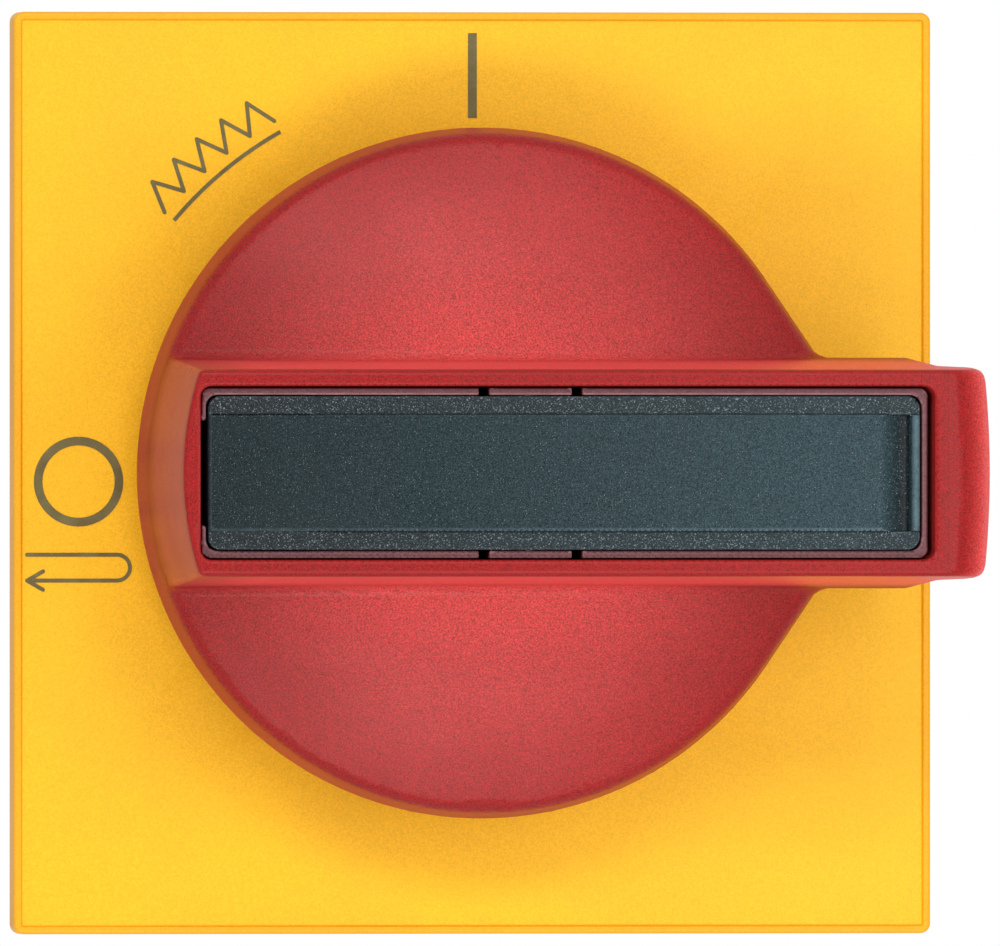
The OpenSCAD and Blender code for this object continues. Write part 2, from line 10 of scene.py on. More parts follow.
import bmesh
import bpy
import numpy as np
import openvdb
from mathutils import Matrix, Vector


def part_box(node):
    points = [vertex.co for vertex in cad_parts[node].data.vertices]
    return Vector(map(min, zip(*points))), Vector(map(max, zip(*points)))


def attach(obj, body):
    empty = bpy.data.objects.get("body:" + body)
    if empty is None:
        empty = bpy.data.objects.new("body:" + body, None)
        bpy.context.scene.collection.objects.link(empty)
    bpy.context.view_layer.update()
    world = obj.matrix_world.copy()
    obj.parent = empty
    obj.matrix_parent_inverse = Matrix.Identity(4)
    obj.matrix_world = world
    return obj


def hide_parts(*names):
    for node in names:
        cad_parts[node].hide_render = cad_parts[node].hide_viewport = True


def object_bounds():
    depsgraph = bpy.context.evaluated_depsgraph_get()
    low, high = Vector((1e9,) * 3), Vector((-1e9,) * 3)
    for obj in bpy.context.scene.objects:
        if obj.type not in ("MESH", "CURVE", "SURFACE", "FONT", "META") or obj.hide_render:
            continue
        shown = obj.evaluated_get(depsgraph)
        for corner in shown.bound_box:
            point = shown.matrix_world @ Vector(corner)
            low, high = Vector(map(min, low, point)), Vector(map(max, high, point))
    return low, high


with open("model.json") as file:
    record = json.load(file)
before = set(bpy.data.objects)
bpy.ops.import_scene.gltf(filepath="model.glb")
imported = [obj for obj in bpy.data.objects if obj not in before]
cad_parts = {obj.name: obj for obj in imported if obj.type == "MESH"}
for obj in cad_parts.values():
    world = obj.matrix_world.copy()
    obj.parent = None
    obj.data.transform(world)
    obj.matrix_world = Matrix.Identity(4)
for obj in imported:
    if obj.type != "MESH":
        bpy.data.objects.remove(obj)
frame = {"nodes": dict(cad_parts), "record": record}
cad_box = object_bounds()

MM = 0.001
BODY_OF = {node: body for body, nodes in frame["record"]["behaviour"]["bodies"].items() for node in nodes}
SLOT_OF = {part["node"]: part["material_slot"] for part in frame["record"]["subparts"]}


def extent(node):
    """A CAD node's lowest and highest corners at rest, in mm."""
    low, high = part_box(node)
    return np.array(low) / MM, np.array(high) / MM


# ---------------------------------------------------------------- camera

VIEW_ANGLE = math.radians(-6)
VIEW_WIDTH = 81.4 * MM
VIEW_TARGET = Vector((2.26, -3.7, 0)) * MM
LENS = 1400
SENSOR = 36


def add_camera():
    """Long lens a little to the left of the axis, level with the handle."""
    data = bpy.data.cameras.new("camera")
    data.sensor_width = SENSOR
    data.lens = LENS
    distance = LENS / SENSOR * VIEW_WIDTH
    data.clip_start = 0.1
    data.clip_end = 2 * distance
    camera = bpy.data.objects.new("camera", data)
    bpy.context.scene.collection.objects.link(camera)
    camera.location = VIEW_TARGET + distance * Vector((math.sin(VIEW_ANGLE), -math.cos(VIEW_ANGLE), 0))
    camera.rotation_euler = (math.pi / 2, 0, VIEW_ANGLE)
    bpy.context.scene.camera = camera


add_camera()

# ---------------------------------------------------------------- sizes from the frame

plate_low, plate_high = extent("masking_plate")
PLATE_W = plate_high[0] - plate_low[0]
RIM_H = -plate_low[1]
FACE_H = -extent("scale_marks")[1][1]
shell_low, shell_high = extent("handle_shell")
SKIRT_R = -shell_low[0]
SKIRT_H = -shell_high[1]
GRIP_H = -shell_low[1]
NOSE_X = shell_high[0]
liner_low, liner_high = extent("grip_liner")
SLOT_X0, SLOT_X1 = liner_low[0], liner_high[0]
SLOT_HALF = liner_high[2]
SLOT_FLOOR_H = -liner_high[1]
LINER_H = -liner_low[1]
bar_low, bar_high = extent("padlock_bar")
pin_low, pin_high = extent("bar_pivot_pin")
PIVOT_X = (pin_low[0] + pin_high[0]) / 2
PIVOT_H = -(pin_low[1] + pin_high[1]) / 2
PIN_R = (pin_high[0] - pin_low[0]) / 2
bolt_low, bolt_high = extent("lock_bolt")
BOLT_X = (bolt_low[0] + bolt_high[0]) / 2

# ---------------------------------------------------------------- chosen sizes of the handle and the bar

FLANK = math.radians(34)
GRIP_FOOT = 9.8
GRIP_FRONT = 8.3
GRIP_END_R = 26.5
DOME_R = 84.0
DOME_H = 19.15
SHOULDER_R = 27.5
EDGE_H = DOME_H - DOME_R + math.sqrt(DOME_R ** 2 - SHOULDER_R ** 2)
WAIST_H = 10.5
WAIST_R = SKIRT_R - 0.2
SKIRT_FOOT_R = 27.3
FOOT_SLOPE = (WAIST_R - SKIRT_FOOT_R) / (WAIST_H - SKIRT_H)
SHOULDER_SLOPE = (WAIST_R - SHOULDER_R) / (EDGE_H - WAIST_H)
FLANK_X = SKIRT_R / math.cos(FLANK) - GRIP_FOOT * math.tan(FLANK)
SHELL_T = 2.2
LEVER_UNDER_H = 11.7
LEVER_END_X = NOSE_X - 4.6
NOSE_R = 3.9
NOSE_LIP_R = 3.4
SLOT_UNDER_H = 13.5

BAR_X0, BAR_X1 = bar_low[0], bar_high[0]
BAR_H = 33.1
BAR_HALF = bar_high[2]
BAR_UNDER_H = 30.7
SWING = math.radians(28)
FIELD_HALF = 4.72
SCOOP_X0, SCOOP_X1 = BAR_X1 - 3.6, BAR_X1 - 0.75
SCOOP_DEEP = 0.85


# ---------------------------------------------------------------- distance fields
# A field is negative inside a shape and positive outside it, and its value is the distance in mm.

def both(a, b, r=0.0):
    """Where two shapes overlap, with their common edge rounded to r."""
    if r == 0:
        return np.maximum(a, b)
    return np.minimum(np.maximum(a, b), -r) + np.hypot(np.maximum(a + r, 0), np.maximum(b + r, 0))


def joined(a, b, r=0.0):
    """Two shapes together, with a fillet of radius r between them."""
    return -both(-a, -b, r)


def cut(a, b, r=0.0):
    """Shape a without shape b."""
    return both(a, -b, r)


def between(t, t0, t1):
    """Where t lies from t0 to t1."""
    return np.maximum(t0 - t, t - t1)


def disc(u, v, r, cu=0.0, cv=0.0):
    """Disc of radius r about (cu, cv)."""
    return np.hypot(u - cu, v - cv) - r


def rect(u, v, u0, u1, v0, v1, r=0.0):
    """Rectangle with round corners."""
    du = np.abs(u - (u0 + u1) / 2) - (u1 - u0) / 2 + r
    dv = np.abs(v - (v0 + v1) / 2) - (v1 - v0) / 2 + r
    return np.hypot(np.maximum(du, 0), np.maximum(dv, 0)) + np.minimum(np.maximum(du, dv), 0) - r


def square(u, v, w, r=0.0):
    """Square of width w with round corners."""
    return rect(u, v, -w / 2, w / 2, -w / 2, w / 2, r)


def slab(outline, t, t0, t1, r=0.0):
    """An outline given thickness from t0 to t1, with edges rounded to r."""
    return both(outline, between(t, t0, t1), r)


# ---------------------------------------------------------------- meshing

def gradient(field, points, step=0.02):
    """The field's slope at each point."""
    parts = []
    for axis in range(3):
        shift = np.zeros(3)
        shift[axis] = step
        ahead = field(*(points + shift).T)
        behind = field(*(points - shift).T)
        parts.append((ahead - behind) / (2 * step))
    return np.stack(parts, axis=1)


def curvature(field, points, step=0.12):
    """Positive on outside edges, negative in inside corners, and 0 on a flat."""
    total = -6 * field(*points.T)
    for axis in range(3):
        shift = np.zeros(3)
        shift[axis] = step
        total = total + field(*(points + shift).T) + field(*(points - shift).T)
    return total / step ** 2


def field_mesh(field, low, high, voxel, adaptivity=0.03):
    """Vertices, faces, normals and edge values of the field's surface inside a box."""
    low = np.array(low, float) - 3 * voxel
    counts = [int((b - a) / voxel) + 4 for a, b in zip(low, high)]
    axes = [np.arange(n) * voxel + a for n, a in zip(counts, low)]
    values = np.empty(counts, np.float32)
    band = 3 * voxel
    thick = 24
    for i in range(0, counts[0], thick):
        grid = np.meshgrid(axes[0][i:i + thick], axes[1], axes[2], indexing="ij")
        values[i:i + thick] = np.clip(field(*grid), -band, band)
    volume = openvdb.FloatGrid(band)
    volume.copyFromArray(values)
    points, triangles, quads = volume.convertToPolygons(isovalue=0.0, adaptivity=adaptivity)
    points = points.astype(float) * voxel + low
    faces = np.concatenate([triangles, quads[:, [0, 1, 2]], quads[:, [0, 2, 3]]]).astype(int)
    for _ in range(2):
        slope = gradient(field, points)
        steep = np.maximum((slope ** 2).sum(1), 0.25)
        move = -(field(*points.T) / steep)[:, None] * slope
        points = points + np.clip(move, -0.4 * voxel, 0.4 * voxel)
    normals = gradient(field, points)
    normals /= np.maximum(np.linalg.norm(normals, axis=1), 1e-9)[:, None]
    points, faces, normals, wide = flat_shaded(points, faces, normals, voxel)
    return points, faces, normals, np.where(wide, 0.0, curvature(field, points))


def flat_shaded(points, faces, normals, voxel):
    """Turns faces outwards, drops slivers, and lets the widest flat at a vertex set its normal."""
    a, b, c = (points[faces[:, k]] for k in range(3))
    across = np.cross(b - a, c - a)
    area = np.linalg.norm(across, axis=1)
    outward = (across * normals[faces].sum(1)).sum(1)
    if outward.sum() < 0:
        faces = faces[:, ::-1]
        across = -across
    keep = area > 1e-9
    faces, across, area = faces[keep], across[keep], area[keep]
    order = np.argsort(area)
    widest = np.zeros(len(points), int)
    widest[faces[order].ravel()] = np.repeat(order, 3)
    flat = across[widest] / area[widest][:, None]
    length = np.linalg.norm(points[faces] - points[faces[:, [1, 2, 0]]], axis=2).max(1)
    reach = np.zeros(len(points))
    np.maximum.at(reach, faces.ravel(), np.repeat(length, 3))
    wide = (reach > 2.3 * voxel) & ((flat * normals).sum(1) > 0.75)
    return points, faces, np.where(wide[:, None], flat, normals), wide


def moved(shape, x=0.0, y=0.0, z=0.0):
    """The shape somewhere else."""
    points, faces, normals, edge = shape
    return points + np.array([x, y, z]), faces, normals, edge


def mirrored(shape):
    """The shape's mirror image in X."""
    points, faces, normals, edge = shape
    flip = np.array([-1, 1, 1])
    return points * flip, faces[:, ::-1], normals * flip, edge


def together(shapes):
    """Several shapes as one."""
    counts = np.cumsum([0] + [len(shape[0]) for shape in shapes[:-1]])
    faces = np.concatenate([shape[1] + start for shape, start in zip(shapes, counts)])
    points, normals, edge = (np.concatenate([shape[i] for shape in shapes]) for i in (0, 2, 3))
    return points, faces, normals, edge


def add_piece(node, points, faces, normals=None, edge=None):
    """Makes the piece that stands for a CAD node, from points in mm."""
    mesh = bpy.data.meshes.new(node + "_formed")
    mesh.from_pydata((np.asarray(points) * MM).tolist(), [], [list(f) for f in faces])
    mesh.polygons.foreach_set("use_smooth", [True] * len(mesh.polygons))
    values = np.zeros(len(mesh.vertices)) if edge is None else np.clip(edge, -4, 4)
    mesh.attributes.new("edge", "FLOAT", "POINT").data.foreach_set("value", values.astype(np.float32))
    mesh.update()
    if normals is not None:
        mesh.normals_split_custom_set_from_vertices(normals.tolist())
    piece = bpy.data.objects.new(node + "_formed", mesh)
    bpy.context.scene.collection.objects.link(piece)
    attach(piece, BODY_OF[node])
    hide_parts(node)
    mesh.materials.append(finish(SLOT_OF[node]))
    return piece


def form(node, field, voxel=0.2, adaptivity=0.03):
    """Makes a node's piece from a field, inside the node's own box."""
    low, high = extent(node)
    return add_piece(node, *field_mesh(field, low, high, voxel, adaptivity))


# ---------------------------------------------------------------- materials

class Shader:
    """A material's node tree, with short calls for the nodes that the finishes share."""

    def __init__(self, name):
        self.material = bpy.data.materials.new(name)
        self.material.use_nodes = True
        self.tree = self.material.node_tree
        self.main = self.tree.nodes["Principled BSDF"]
        place = self.add("ShaderNodeTexCoord").outputs["Object"]
        scale = self.add("ShaderNodeVectorMath", operation="SCALE")
        scale.inputs["Scale"].default_value = 1 / MM
        self.tree.links.new(place, scale.inputs[0])
        self.place = scale.outputs[0]

    def add(self, kind, **settings):
        """A new node with its settings."""
        node = self.tree.nodes.new(kind)
        for key, value in settings.items():
            setattr(node, key, value)
        return node

    def put(self, socket, value):
        """Gives a socket a constant or a link."""
        if isinstance(value, bpy.types.NodeSocket):
            self.tree.links.new(value, socket)
        else:
            socket.default_value = value

    def noise(self, size, detail=2.0, rough=0.5):
        """Noise from 0 to 1 whose cells measure about size mm."""
        node = self.add("ShaderNodeTexNoise")
        self.put(node.inputs["Vector"], self.place)
        node.inputs["Scale"].default_value = 1 / size
        node.inputs["Detail"].default_value = detail
        node.inputs["Roughness"].default_value = rough
        return node.outputs[0]

    def ramp(self, value, low, high, out_low=0.0, out_high=1.0):
        """Maps low..high to out_low..out_high, clamped."""
        node = self.add("ShaderNodeMapRange", clamp=True)
        for name, given in zip(("Value", "From Min", "From Max", "To Min", "To Max"),
                               (value, low, high, out_low, out_high)):
            self.put(node.inputs[name], given)
        return node.outputs[0]

    def math(self, operation, a, b=0.0):
        """A math node of two values."""
        node = self.add("ShaderNodeMath", operation=operation)
        self.put(node.inputs[0], a)
        self.put(node.inputs[1], b)
        return node.outputs[0]

    def mix(self, factor, a, b):
        """From colour a to colour b by a factor."""
        node = self.add("ShaderNodeMix", data_type="RGBA")
        for socket, value in ((0, factor), (6, a), (7, b)):
            self.put(node.inputs[socket], value)
        return node.outputs[2]

    def tint(self, colour, factor):
        """The colour made brighter or darker by a factor."""
        node = self.add("ShaderNodeVectorMath", operation="SCALE")
        self.put(node.inputs[0], colour)
        self.put(node.inputs["Scale"], factor)
        return node.outputs[0]

    def times(self, a, b):
        """Two colours multiplied."""
        node = self.add("ShaderNodeVectorMath", operation="MULTIPLY")
        self.put(node.inputs[0], a)
        self.put(node.inputs[1], b)
        return node.outputs[0]

    def axis(self, letter):
        """One coordinate of the place, in mm."""
        node = self.add("ShaderNodeSeparateXYZ")
        self.put(node.inputs[0], self.place)
        return node.outputs[letter]

    def edge(self):
        """The piece's own edge value: positive on outside edges, negative in corners."""
        return self.add("ShaderNodeAttribute", attribute_name="edge").outputs["Fac"]

    def bump(self, height, distance, strength=1.0):
        """A normal from a height, whose full step is distance mm."""
        node = self.add("ShaderNodeBump")
        node.inputs["Strength"].default_value = strength
        node.inputs["Distance"].default_value = distance * MM
        self.put(node.inputs["Height"], height)
        return node.outputs[0]

    def surface(self, **values):
        """Sets the surface shader's inputs by name."""
        for name, value in values.items():
            self.put(self.main.inputs[name.replace("_", " ").title().replace("Ior", "IOR")], value)


def linear(red, green, blue):
    """An sRGB colour, 0 to 255, as the linear colour that a shader takes."""
    def one(c):
        c /= 255
        return c / 12.92 if c <= 0.04045 else ((c + 0.055) / 1.055) ** 2.4
    return (one(red), one(green), one(blue), 1.0)


def scaled(colour, factor):
    """A linear colour made brighter or darker by a factor."""
    return tuple(min(factor * c, 1.0) for c in colour[:3]) + (1.0,)


def moulded(name, colour, highlight_colour, grain=0.14, depth=0.02, rough=0.45, mottle=0.2, edge_highlight=0.5, shine=0.5,
            extra=None):
    """Spark-eroded plastic: a grain of bumps, mottled colour, a painted highlight on outside edges and
    painted shade in inside corners.
    """
    s = Shader(name)
    fine = s.noise(grain, 2.0, 0.6)
    broad = s.noise(14.0, 3.0)
    tone = s.mix(s.ramp(broad, 0.35, 0.65), scaled(colour, 1.03), scaled(colour, 0.96))
    tone = s.tint(tone, s.ramp(fine, 0.3, 0.7, 1 - mottle, 1 + mottle))
    edge = s.edge()
    # Painted highlight: outside edges turn paler, in noisy patches.
    patches = s.ramp(s.noise(0.9, 4.0), 0.3, 0.7, 0.4 * edge_highlight, edge_highlight)
    painted_highlight = s.math("MULTIPLY", s.ramp(edge, 0.8, 3.2), patches)
    tone = s.mix(painted_highlight, tone, highlight_colour)
    # Painted shade: inside corners darker.
    tone = s.tint(tone, s.ramp(edge, -0.4, -3.0, 1.0, 0.6))
    if extra is not None:
        tone = extra(s, tone)
    s.surface(base_color=tone, normal=s.bump(fine, depth, 0.6), specular_ior_level=shine,
              roughness=s.ramp(s.math("ADD", fine, broad), 0.7, 1.3, rough - 0.06, rough + 0.08))
    return s.material


def plate_tone(s, tone):
    """Painted shade: deeper, more orange yellow on the raised rim and the side walls."""
    rim = s.ramp(s.math("MULTIPLY", s.axis("Y"), -1.0), FACE_H + 0.08, FACE_H + 0.2)
    wide = s.math("MAXIMUM", s.math("ABSOLUTE", s.axis("X")), s.math("ABSOLUTE", s.axis("Z")))
    rim = s.math("MAXIMUM", rim, s.ramp(wide, PLATE_W / 2 - 0.1, PLATE_W / 2))
    # Painted shade on the rim and the side walls.
    return s.times(tone, s.mix(rim, (1.0, 1.0, 1.0, 1.0), (0.93, 0.78, 0.3, 1.0)))


def handle_tone(s, tone):
    """Painted shade makes the red deeper on the grip's front and the skirt, painted light makes it paler by
    the grip, and a fine seam runs on the nose.
    """
    h = s.math("MULTIPLY", s.axis("Y"), -1.0)
    # Painted light and shade: a factor by height from deep red to the full colour.
    pale = s.math("MAXIMUM", s.ramp(h, 14.4, 18.4, 0.12, 1.0), s.ramp(h, 13.0, 14.4, 0.6, 0.12))
    pale = s.math("MINIMUM", pale, s.ramp(h, 31.8, 33.4, 1.0, 0.0))
    tone = s.times(tone, s.mix(pale, (0.66, 0.14, 0.14, 1.0), (1.0, 1.0, 1.0, 1.0)))
    # Painted light: brighter red up by the grip.
    by_grip = s.math("ADD", s.ramp(h, 15.6, 18.5, 0.0, 0.45), s.ramp(h, 18.8, 22, 0.0, 0.4))
    by_grip = s.math("MULTIPLY", s.math("MULTIPLY", by_grip, s.ramp(s.axis("X"), -25, -20)), pale)
    tone = s.tint(tone, s.math("ADD", by_grip, 1.0))
    off = s.math("ABSOLUTE", s.math("SUBTRACT", s.axis("X"), NOSE_X - NOSE_R))
    seam = s.math("MULTIPLY", s.ramp(off, 0.03, 0.1, 0.45, 0.0), s.ramp(s.noise(0.5, 2.0), 0.35, 0.6))
    return s.mix(seam, tone, scaled(linear(120, 14, 16), 0.8))


def bar_tone(s, tone):
    """Painted glints as pale specks, denser on the lowered edge bands, and painted shade on the scoop and
    the left end.
    """
    band = s.ramp(s.math("ABSOLUTE", s.axis("Z")), FIELD_HALF, FIELD_HALF + 0.1)
    # Painted shade: darker towards the left end.
    tone = s.tint(tone, s.ramp(s.axis("X"), BAR_X0, BAR_X1, 0.3, 0.95))
    h = s.math("MULTIPLY", s.axis("Y"), -1.0)
    # Painted shade: darker deep in the scoop.
    dip = s.ramp(h, BAR_H - SCOOP_DEEP, BAR_H - 0.1, 0.22, 1.0)
    dip = s.math("MAXIMUM", dip, s.ramp(band, 0, 1, 0.0, 0.8))
    tone = s.tint(tone, s.math("MAXIMUM", dip, s.ramp(s.axis("X"), SCOOP_X0 - 0.4, SCOOP_X0, 1.0, 0.0)))
    tone = s.tint(tone, s.ramp(band, 0, 1, 1.0, 0.7))
    # Painted glints: pale specks.
    pale = linear(196, 208, 214)
    fine = s.ramp(s.noise(0.1, 1.0), 0.66, 0.78, 0.0, 0.45)
    coarse = s.ramp(s.noise(0.12, 1.0), 0.62, 0.76, 0.0, 0.4)
    tone = s.mix(fine, tone, pale)
    return s.mix(s.math("MULTIPLY", coarse, band), tone, pale)


def metal(name, colour, stain, rough=0.32, depth=0.006):
    """Plated metal: fine grain, cloudy stain, a painted highlight on edges and painted shade in corners."""
    s = Shader(name)
    fine = s.noise(0.16, 3.0, 0.6)
    cloud = s.noise(2.4, 4.0)
    tone = s.mix(s.ramp(cloud, 0.4, 0.68), colour, stain)
    edge = s.edge()
    # Painted highlight on edges, then painted shade in corners.
    tone = s.mix(s.ramp(edge, 0.6, 3.5, 0.0, 0.6), tone, linear(235, 235, 232))
    tone = s.mix(s.ramp(edge, -0.5, -3.0, 0.0, 0.6), tone, linear(70, 66, 60))
    s.surface(base_color=tone, metallic=1.0, normal=s.bump(fine, depth, 0.5),
              roughness=s.ramp(s.math("ADD", fine, cloud), 0.6, 1.4, rough - 0.08, rough + 0.12))
    return s.material


def rubber(name):
    """Matt black rubber with a grey bloom and a painted highlight on edges."""
    s = Shader(name)
    cells = s.noise(0.35, 3.0, 0.65)
    tone = s.mix(s.ramp(s.noise(6.0, 3.0), 0.35, 0.7), linear(34, 34, 36), linear(52, 51, 50))
    # Painted highlight: paler edges.
    tone = s.mix(s.ramp(s.edge(), 0.5, 3.0, 0.0, 0.4), tone, linear(84, 83, 80))
    s.surface(base_color=tone, normal=s.bump(cells, 0.03, 0.6),
              roughness=s.ramp(cells, 0.3, 0.7, 0.62, 0.85))
    return s.material


def ink(name):
    """Printed ink that has taken unevenly on the plate's grain."""
    s = Shader(name)
    fine = s.noise(0.13, 3.0, 0.6)
    tone = s.mix(s.ramp(s.noise(1.5, 3.0), 0.35, 0.7), linear(92, 80, 34), linear(110, 100, 52))
    tone = s.mix(s.ramp(fine, 0.6, 0.74, 0.0, 0.5), tone, linear(190, 150, 40))
    s.surface(base_color=tone, normal=s.bump(fine, 0.015, 0.5), roughness=s.ramp(fine, 0.3, 0.7, 0.42, 0.6))
    return s.material


FINISHES = {
    "yellow_plastic": lambda name: moulded(
        name, linear(246, 184, 24), linear(255, 214, 96), mottle=0.12, rough=0.42, shine=0.3,
        extra=plate_tone),
    "mark_ink": ink,
    "dark_bearing_plastic": lambda name: moulded(name, linear(62, 63, 66), linear(120, 121, 122)),
    "gasket_rubber": rubber,
    "zinc_steel": lambda name: metal(name, linear(205, 206, 204), linear(172, 170, 160)),
    "spring_steel": lambda name: metal(name, linear(176, 177, 180), linear(140, 138, 134), rough=0.26),
    "red_plastic": lambda name: moulded(
        name, linear(175, 56, 54), linear(214, 104, 96), grain=0.13, mottle=0.5, edge_highlight=0.3, rough=0.4,
        shine=0.25, extra=handle_tone),
    "liner_plastic": lambda name: moulded(
        name, linear(104, 60, 65), linear(176, 132, 136), mottle=0.4, shine=0.35),
    "slate_plastic": lambda name: moulded(
        name, linear(40, 62, 68), linear(104, 128, 136), grain=0.12, mottle=0.85, edge_highlight=0.6, rough=0.38,
        shine=0.22, extra=bar_tone),
    "zinc_casting": lambda name: metal(
        name, linear(176, 177, 178), linear(146, 144, 140), rough=0.42, depth=0.02),
    "latch_plastic": lambda name: moulded(name, linear(52, 53, 56), linear(112, 113, 115)),
    "ivory_plastic": lambda name: moulded(name, linear(226, 218, 196), linear(245, 240, 226), mottle=0.1),
    "deck_plastic": lambda name: moulded(name, linear(150, 152, 154), linear(200, 201, 202), mottle=0.15),
    "contact_copper": lambda name: metal(name, linear(214, 146, 108), linear(178, 108, 78), rough=0.3),
}
made = {}


def finish(slot):
    """The material of a slot, made once."""
    if slot not in made:
        made[slot] = FINISHES[slot](slot)
    return made[slot]


# ---------------------------------------------------------------- masking plate

PLATE_WALL = 2.0
PLATE_T = 1.3
CORNER_R, INNER_CORNER_R = 0.8, 0.12
RIM_R, RIM_FLAT = 0.3, 0.5
RIM_HIGHLIGHT = 1.6
PLATE_HOLES = [(0, 0, 7.4), (0, -BOLT_X, 2.3), (BOLT_X, 0, 2.3)]


def rounded_square(w, r, y, steps=8):
    """Points round a square with round corners, at depth y."""
    loop = []
    reach = (w / 2 - r) * math.sqrt(2)
    for turn in range(4):
        corner = math.radians(90 * turn + 45)
        for k in range(steps + 1):
            a = math.radians(90 * turn + 90 * k / steps)
            loop.append((reach * math.cos(corner) + r * math.cos(a), y,
                         reach * math.sin(corner) + r * math.sin(a)))
    return loop


def hole_ring(cx, cz, r, y, steps=48):
    """Points round a hole, at depth y."""
    angles = [2 * math.pi * k / steps for k in range(steps)]
    return [(cx + r * math.cos(a), y, cz + r * math.sin(a)) for a in angles]


def fillet(inset, h, r, a0, a1, steps=5):
    """Inset and height of points on an arc in the plate's cross-section, centred on (inset, h)."""
    angles = [math.radians(a0 + (a1 - a0) * k / steps) for k in range(steps + 1)]
    return [(inset + r * math.cos(a), h + r * math.sin(a)) for a in angles]


def plate_section():
    """Inset and height of the plate's cross-section, from its back edge over the rim to its face."""
    wall = [(PLATE_WALL, FACE_H - PLATE_T), (PLATE_WALL, 0.15), (PLATE_WALL - 0.15, 0.0)]
    foot = wall + [(0.2, 0.0), (0.0, 0.2)]
    outside = fillet(RIM_R, RIM_H - RIM_R, RIM_R, 180, 90)
    inside = fillet(RIM_FLAT, RIM_H - 0.12, 0.12, 90, 20)
    return foot + outside + inside + fillet(RIM_FLAT + 0.28, FACE_H + 0.1, 0.1, 200, 270)


def add_band(bm, ring, other):
    """Adds the faces between two rings with the same number of points."""
    for k in range(len(ring)):
        m = (k + 1) % len(ring)
        bm.faces.new((ring[k], ring[m], other[m], other[k]))


def add_flat(bm, outline, y):
    """Fills the flat between an outline and the holes, and returns the holes' rings."""
    rings = [[bm.verts.new(point) for point in hole_ring(cx, cz, r, y)] for cx, cz, r in PLATE_HOLES]
    edges = []
    for loop in [outline] + rings:
        for i, vert in enumerate(loop):
            following = loop[(i + 1) % len(loop)]
            edges.append(bm.edges.get((vert, following)) or bm.edges.new((vert, following)))
    bmesh.ops.triangle_fill(bm, edges=edges, use_beauty=True)
    return rings


def add_plate():
    """Moulded plate: rings over the rim, a flat with holes at both ends, and the holes' walls."""
    section = plate_section()
    bm = bmesh.new()
    rings = []
    for inset, h in section:
        outline = rounded_square(PLATE_W - 2 * inset, max(CORNER_R - inset, INNER_CORNER_R), -h)
        rings.append([bm.verts.new(point) for point in outline])
    for ring, following in zip(rings, rings[1:]):
        add_band(bm, ring, following)
    front = add_flat(bm, rings[-1], -section[-1][1])
    back = add_flat(bm, rings[0], -section[0][1])
    for ring, other in zip(front, back):
        add_band(bm, ring, other)
    bmesh.ops.recalc_face_normals(bm, faces=bm.faces)
    bm.verts.index_update()
    points = [tuple(vert.co) for vert in bm.verts]
    faces = [[vert.index for vert in face.verts] for face in bm.faces]
    bm.free()
    edge = np.zeros(len(points))
    size = len(outline)
    # The rim's top rings get a painted highlight through their edge value.
    for i, (inset, h) in enumerate(section):
        if inset < RIM_FLAT + 0.25 and h > FACE_H + 0.15:
            edge[i * size:(i + 1) * size] = RIM_HIGHLIGHT
    piece = add_piece("masking_plate", points, faces, edge=edge)
    weighted = piece.modifiers.new("even_shading", "WEIGHTED_NORMAL")
    weighted.keep_sharp = True
    weighted.weight = 100


add_plate()


# ---------------------------------------------------------------- handle

def teardrop(x, z, r):
    """Skirt outline: a circle with straight flanks that run to the grip."""
    straight = x * math.cos(FLANK) + np.abs(z) * math.sin(FLANK) - r
    return np.where(np.abs(np.arctan2(z, x)) > FLANK, np.hypot(x, z) - r, straight)


def dome(x, h, z, inset=0.0):
    """Ball that gives the dome its shape."""
    return np.sqrt(x * x + z * z + (h - DOME_H + DOME_R) ** 2) - DOME_R + inset


def skirt_radius(h):
    """Radius of the skirt, which is widest at its waist and narrower at its foot and shoulder."""
    return WAIST_R - FOOT_SLOPE * np.maximum(WAIST_H - h, 0) - SHOULDER_SLOPE * np.maximum(h - WAIST_H, 0)


def grip(x, h, z):
    """The grip as a solid, from the skirt's edge to its front."""
    rise = (h - SKIRT_H) / (GRIP_H - SKIRT_H)
    side = np.abs(z) - GRIP_FOOT + (GRIP_FOOT - GRIP_FRONT) * rise
    tip = NOSE_X - (z * z) / 156
    lever_end = LEVER_END_X + 0.08 * (h - LEVER_UNDER_H) - tip + NOSE_X
    lip_h = GRIP_H - NOSE_R
    lip = np.hypot(np.maximum(x - tip + NOSE_LIP_R, 0), np.maximum(lip_h - h, 0)) - NOSE_LIP_R
    under = np.minimum(np.where(h < lip_h, lip, -9.0), joined(x - lever_end, lip, 0.6))
    under = both(under, np.where(x > FLANK_X - 1.5, LEVER_UNDER_H - h, -9.0), 0.6)
    nose = both(both(x - tip, under, 0.1), side, 1.2)
    nose = both(nose, both(x - tip, h - GRIP_H, NOSE_R), 0.4)
    lean = (SHOULDER_R - GRIP_END_R) / (GRIP_H - EDGE_H)
    sunk = 0.6 * np.clip(EDGE_H - h, 0, 1.5)
    end_r = np.where(h > EDGE_H, SHOULDER_R - lean * (h - EDGE_H), skirt_radius(h) - sunk)
    end = np.where(x < 0, np.hypot(x, z) - end_r, -9.0)
    return np.maximum(both(nose, end, 0.4), SKIRT_H - h)


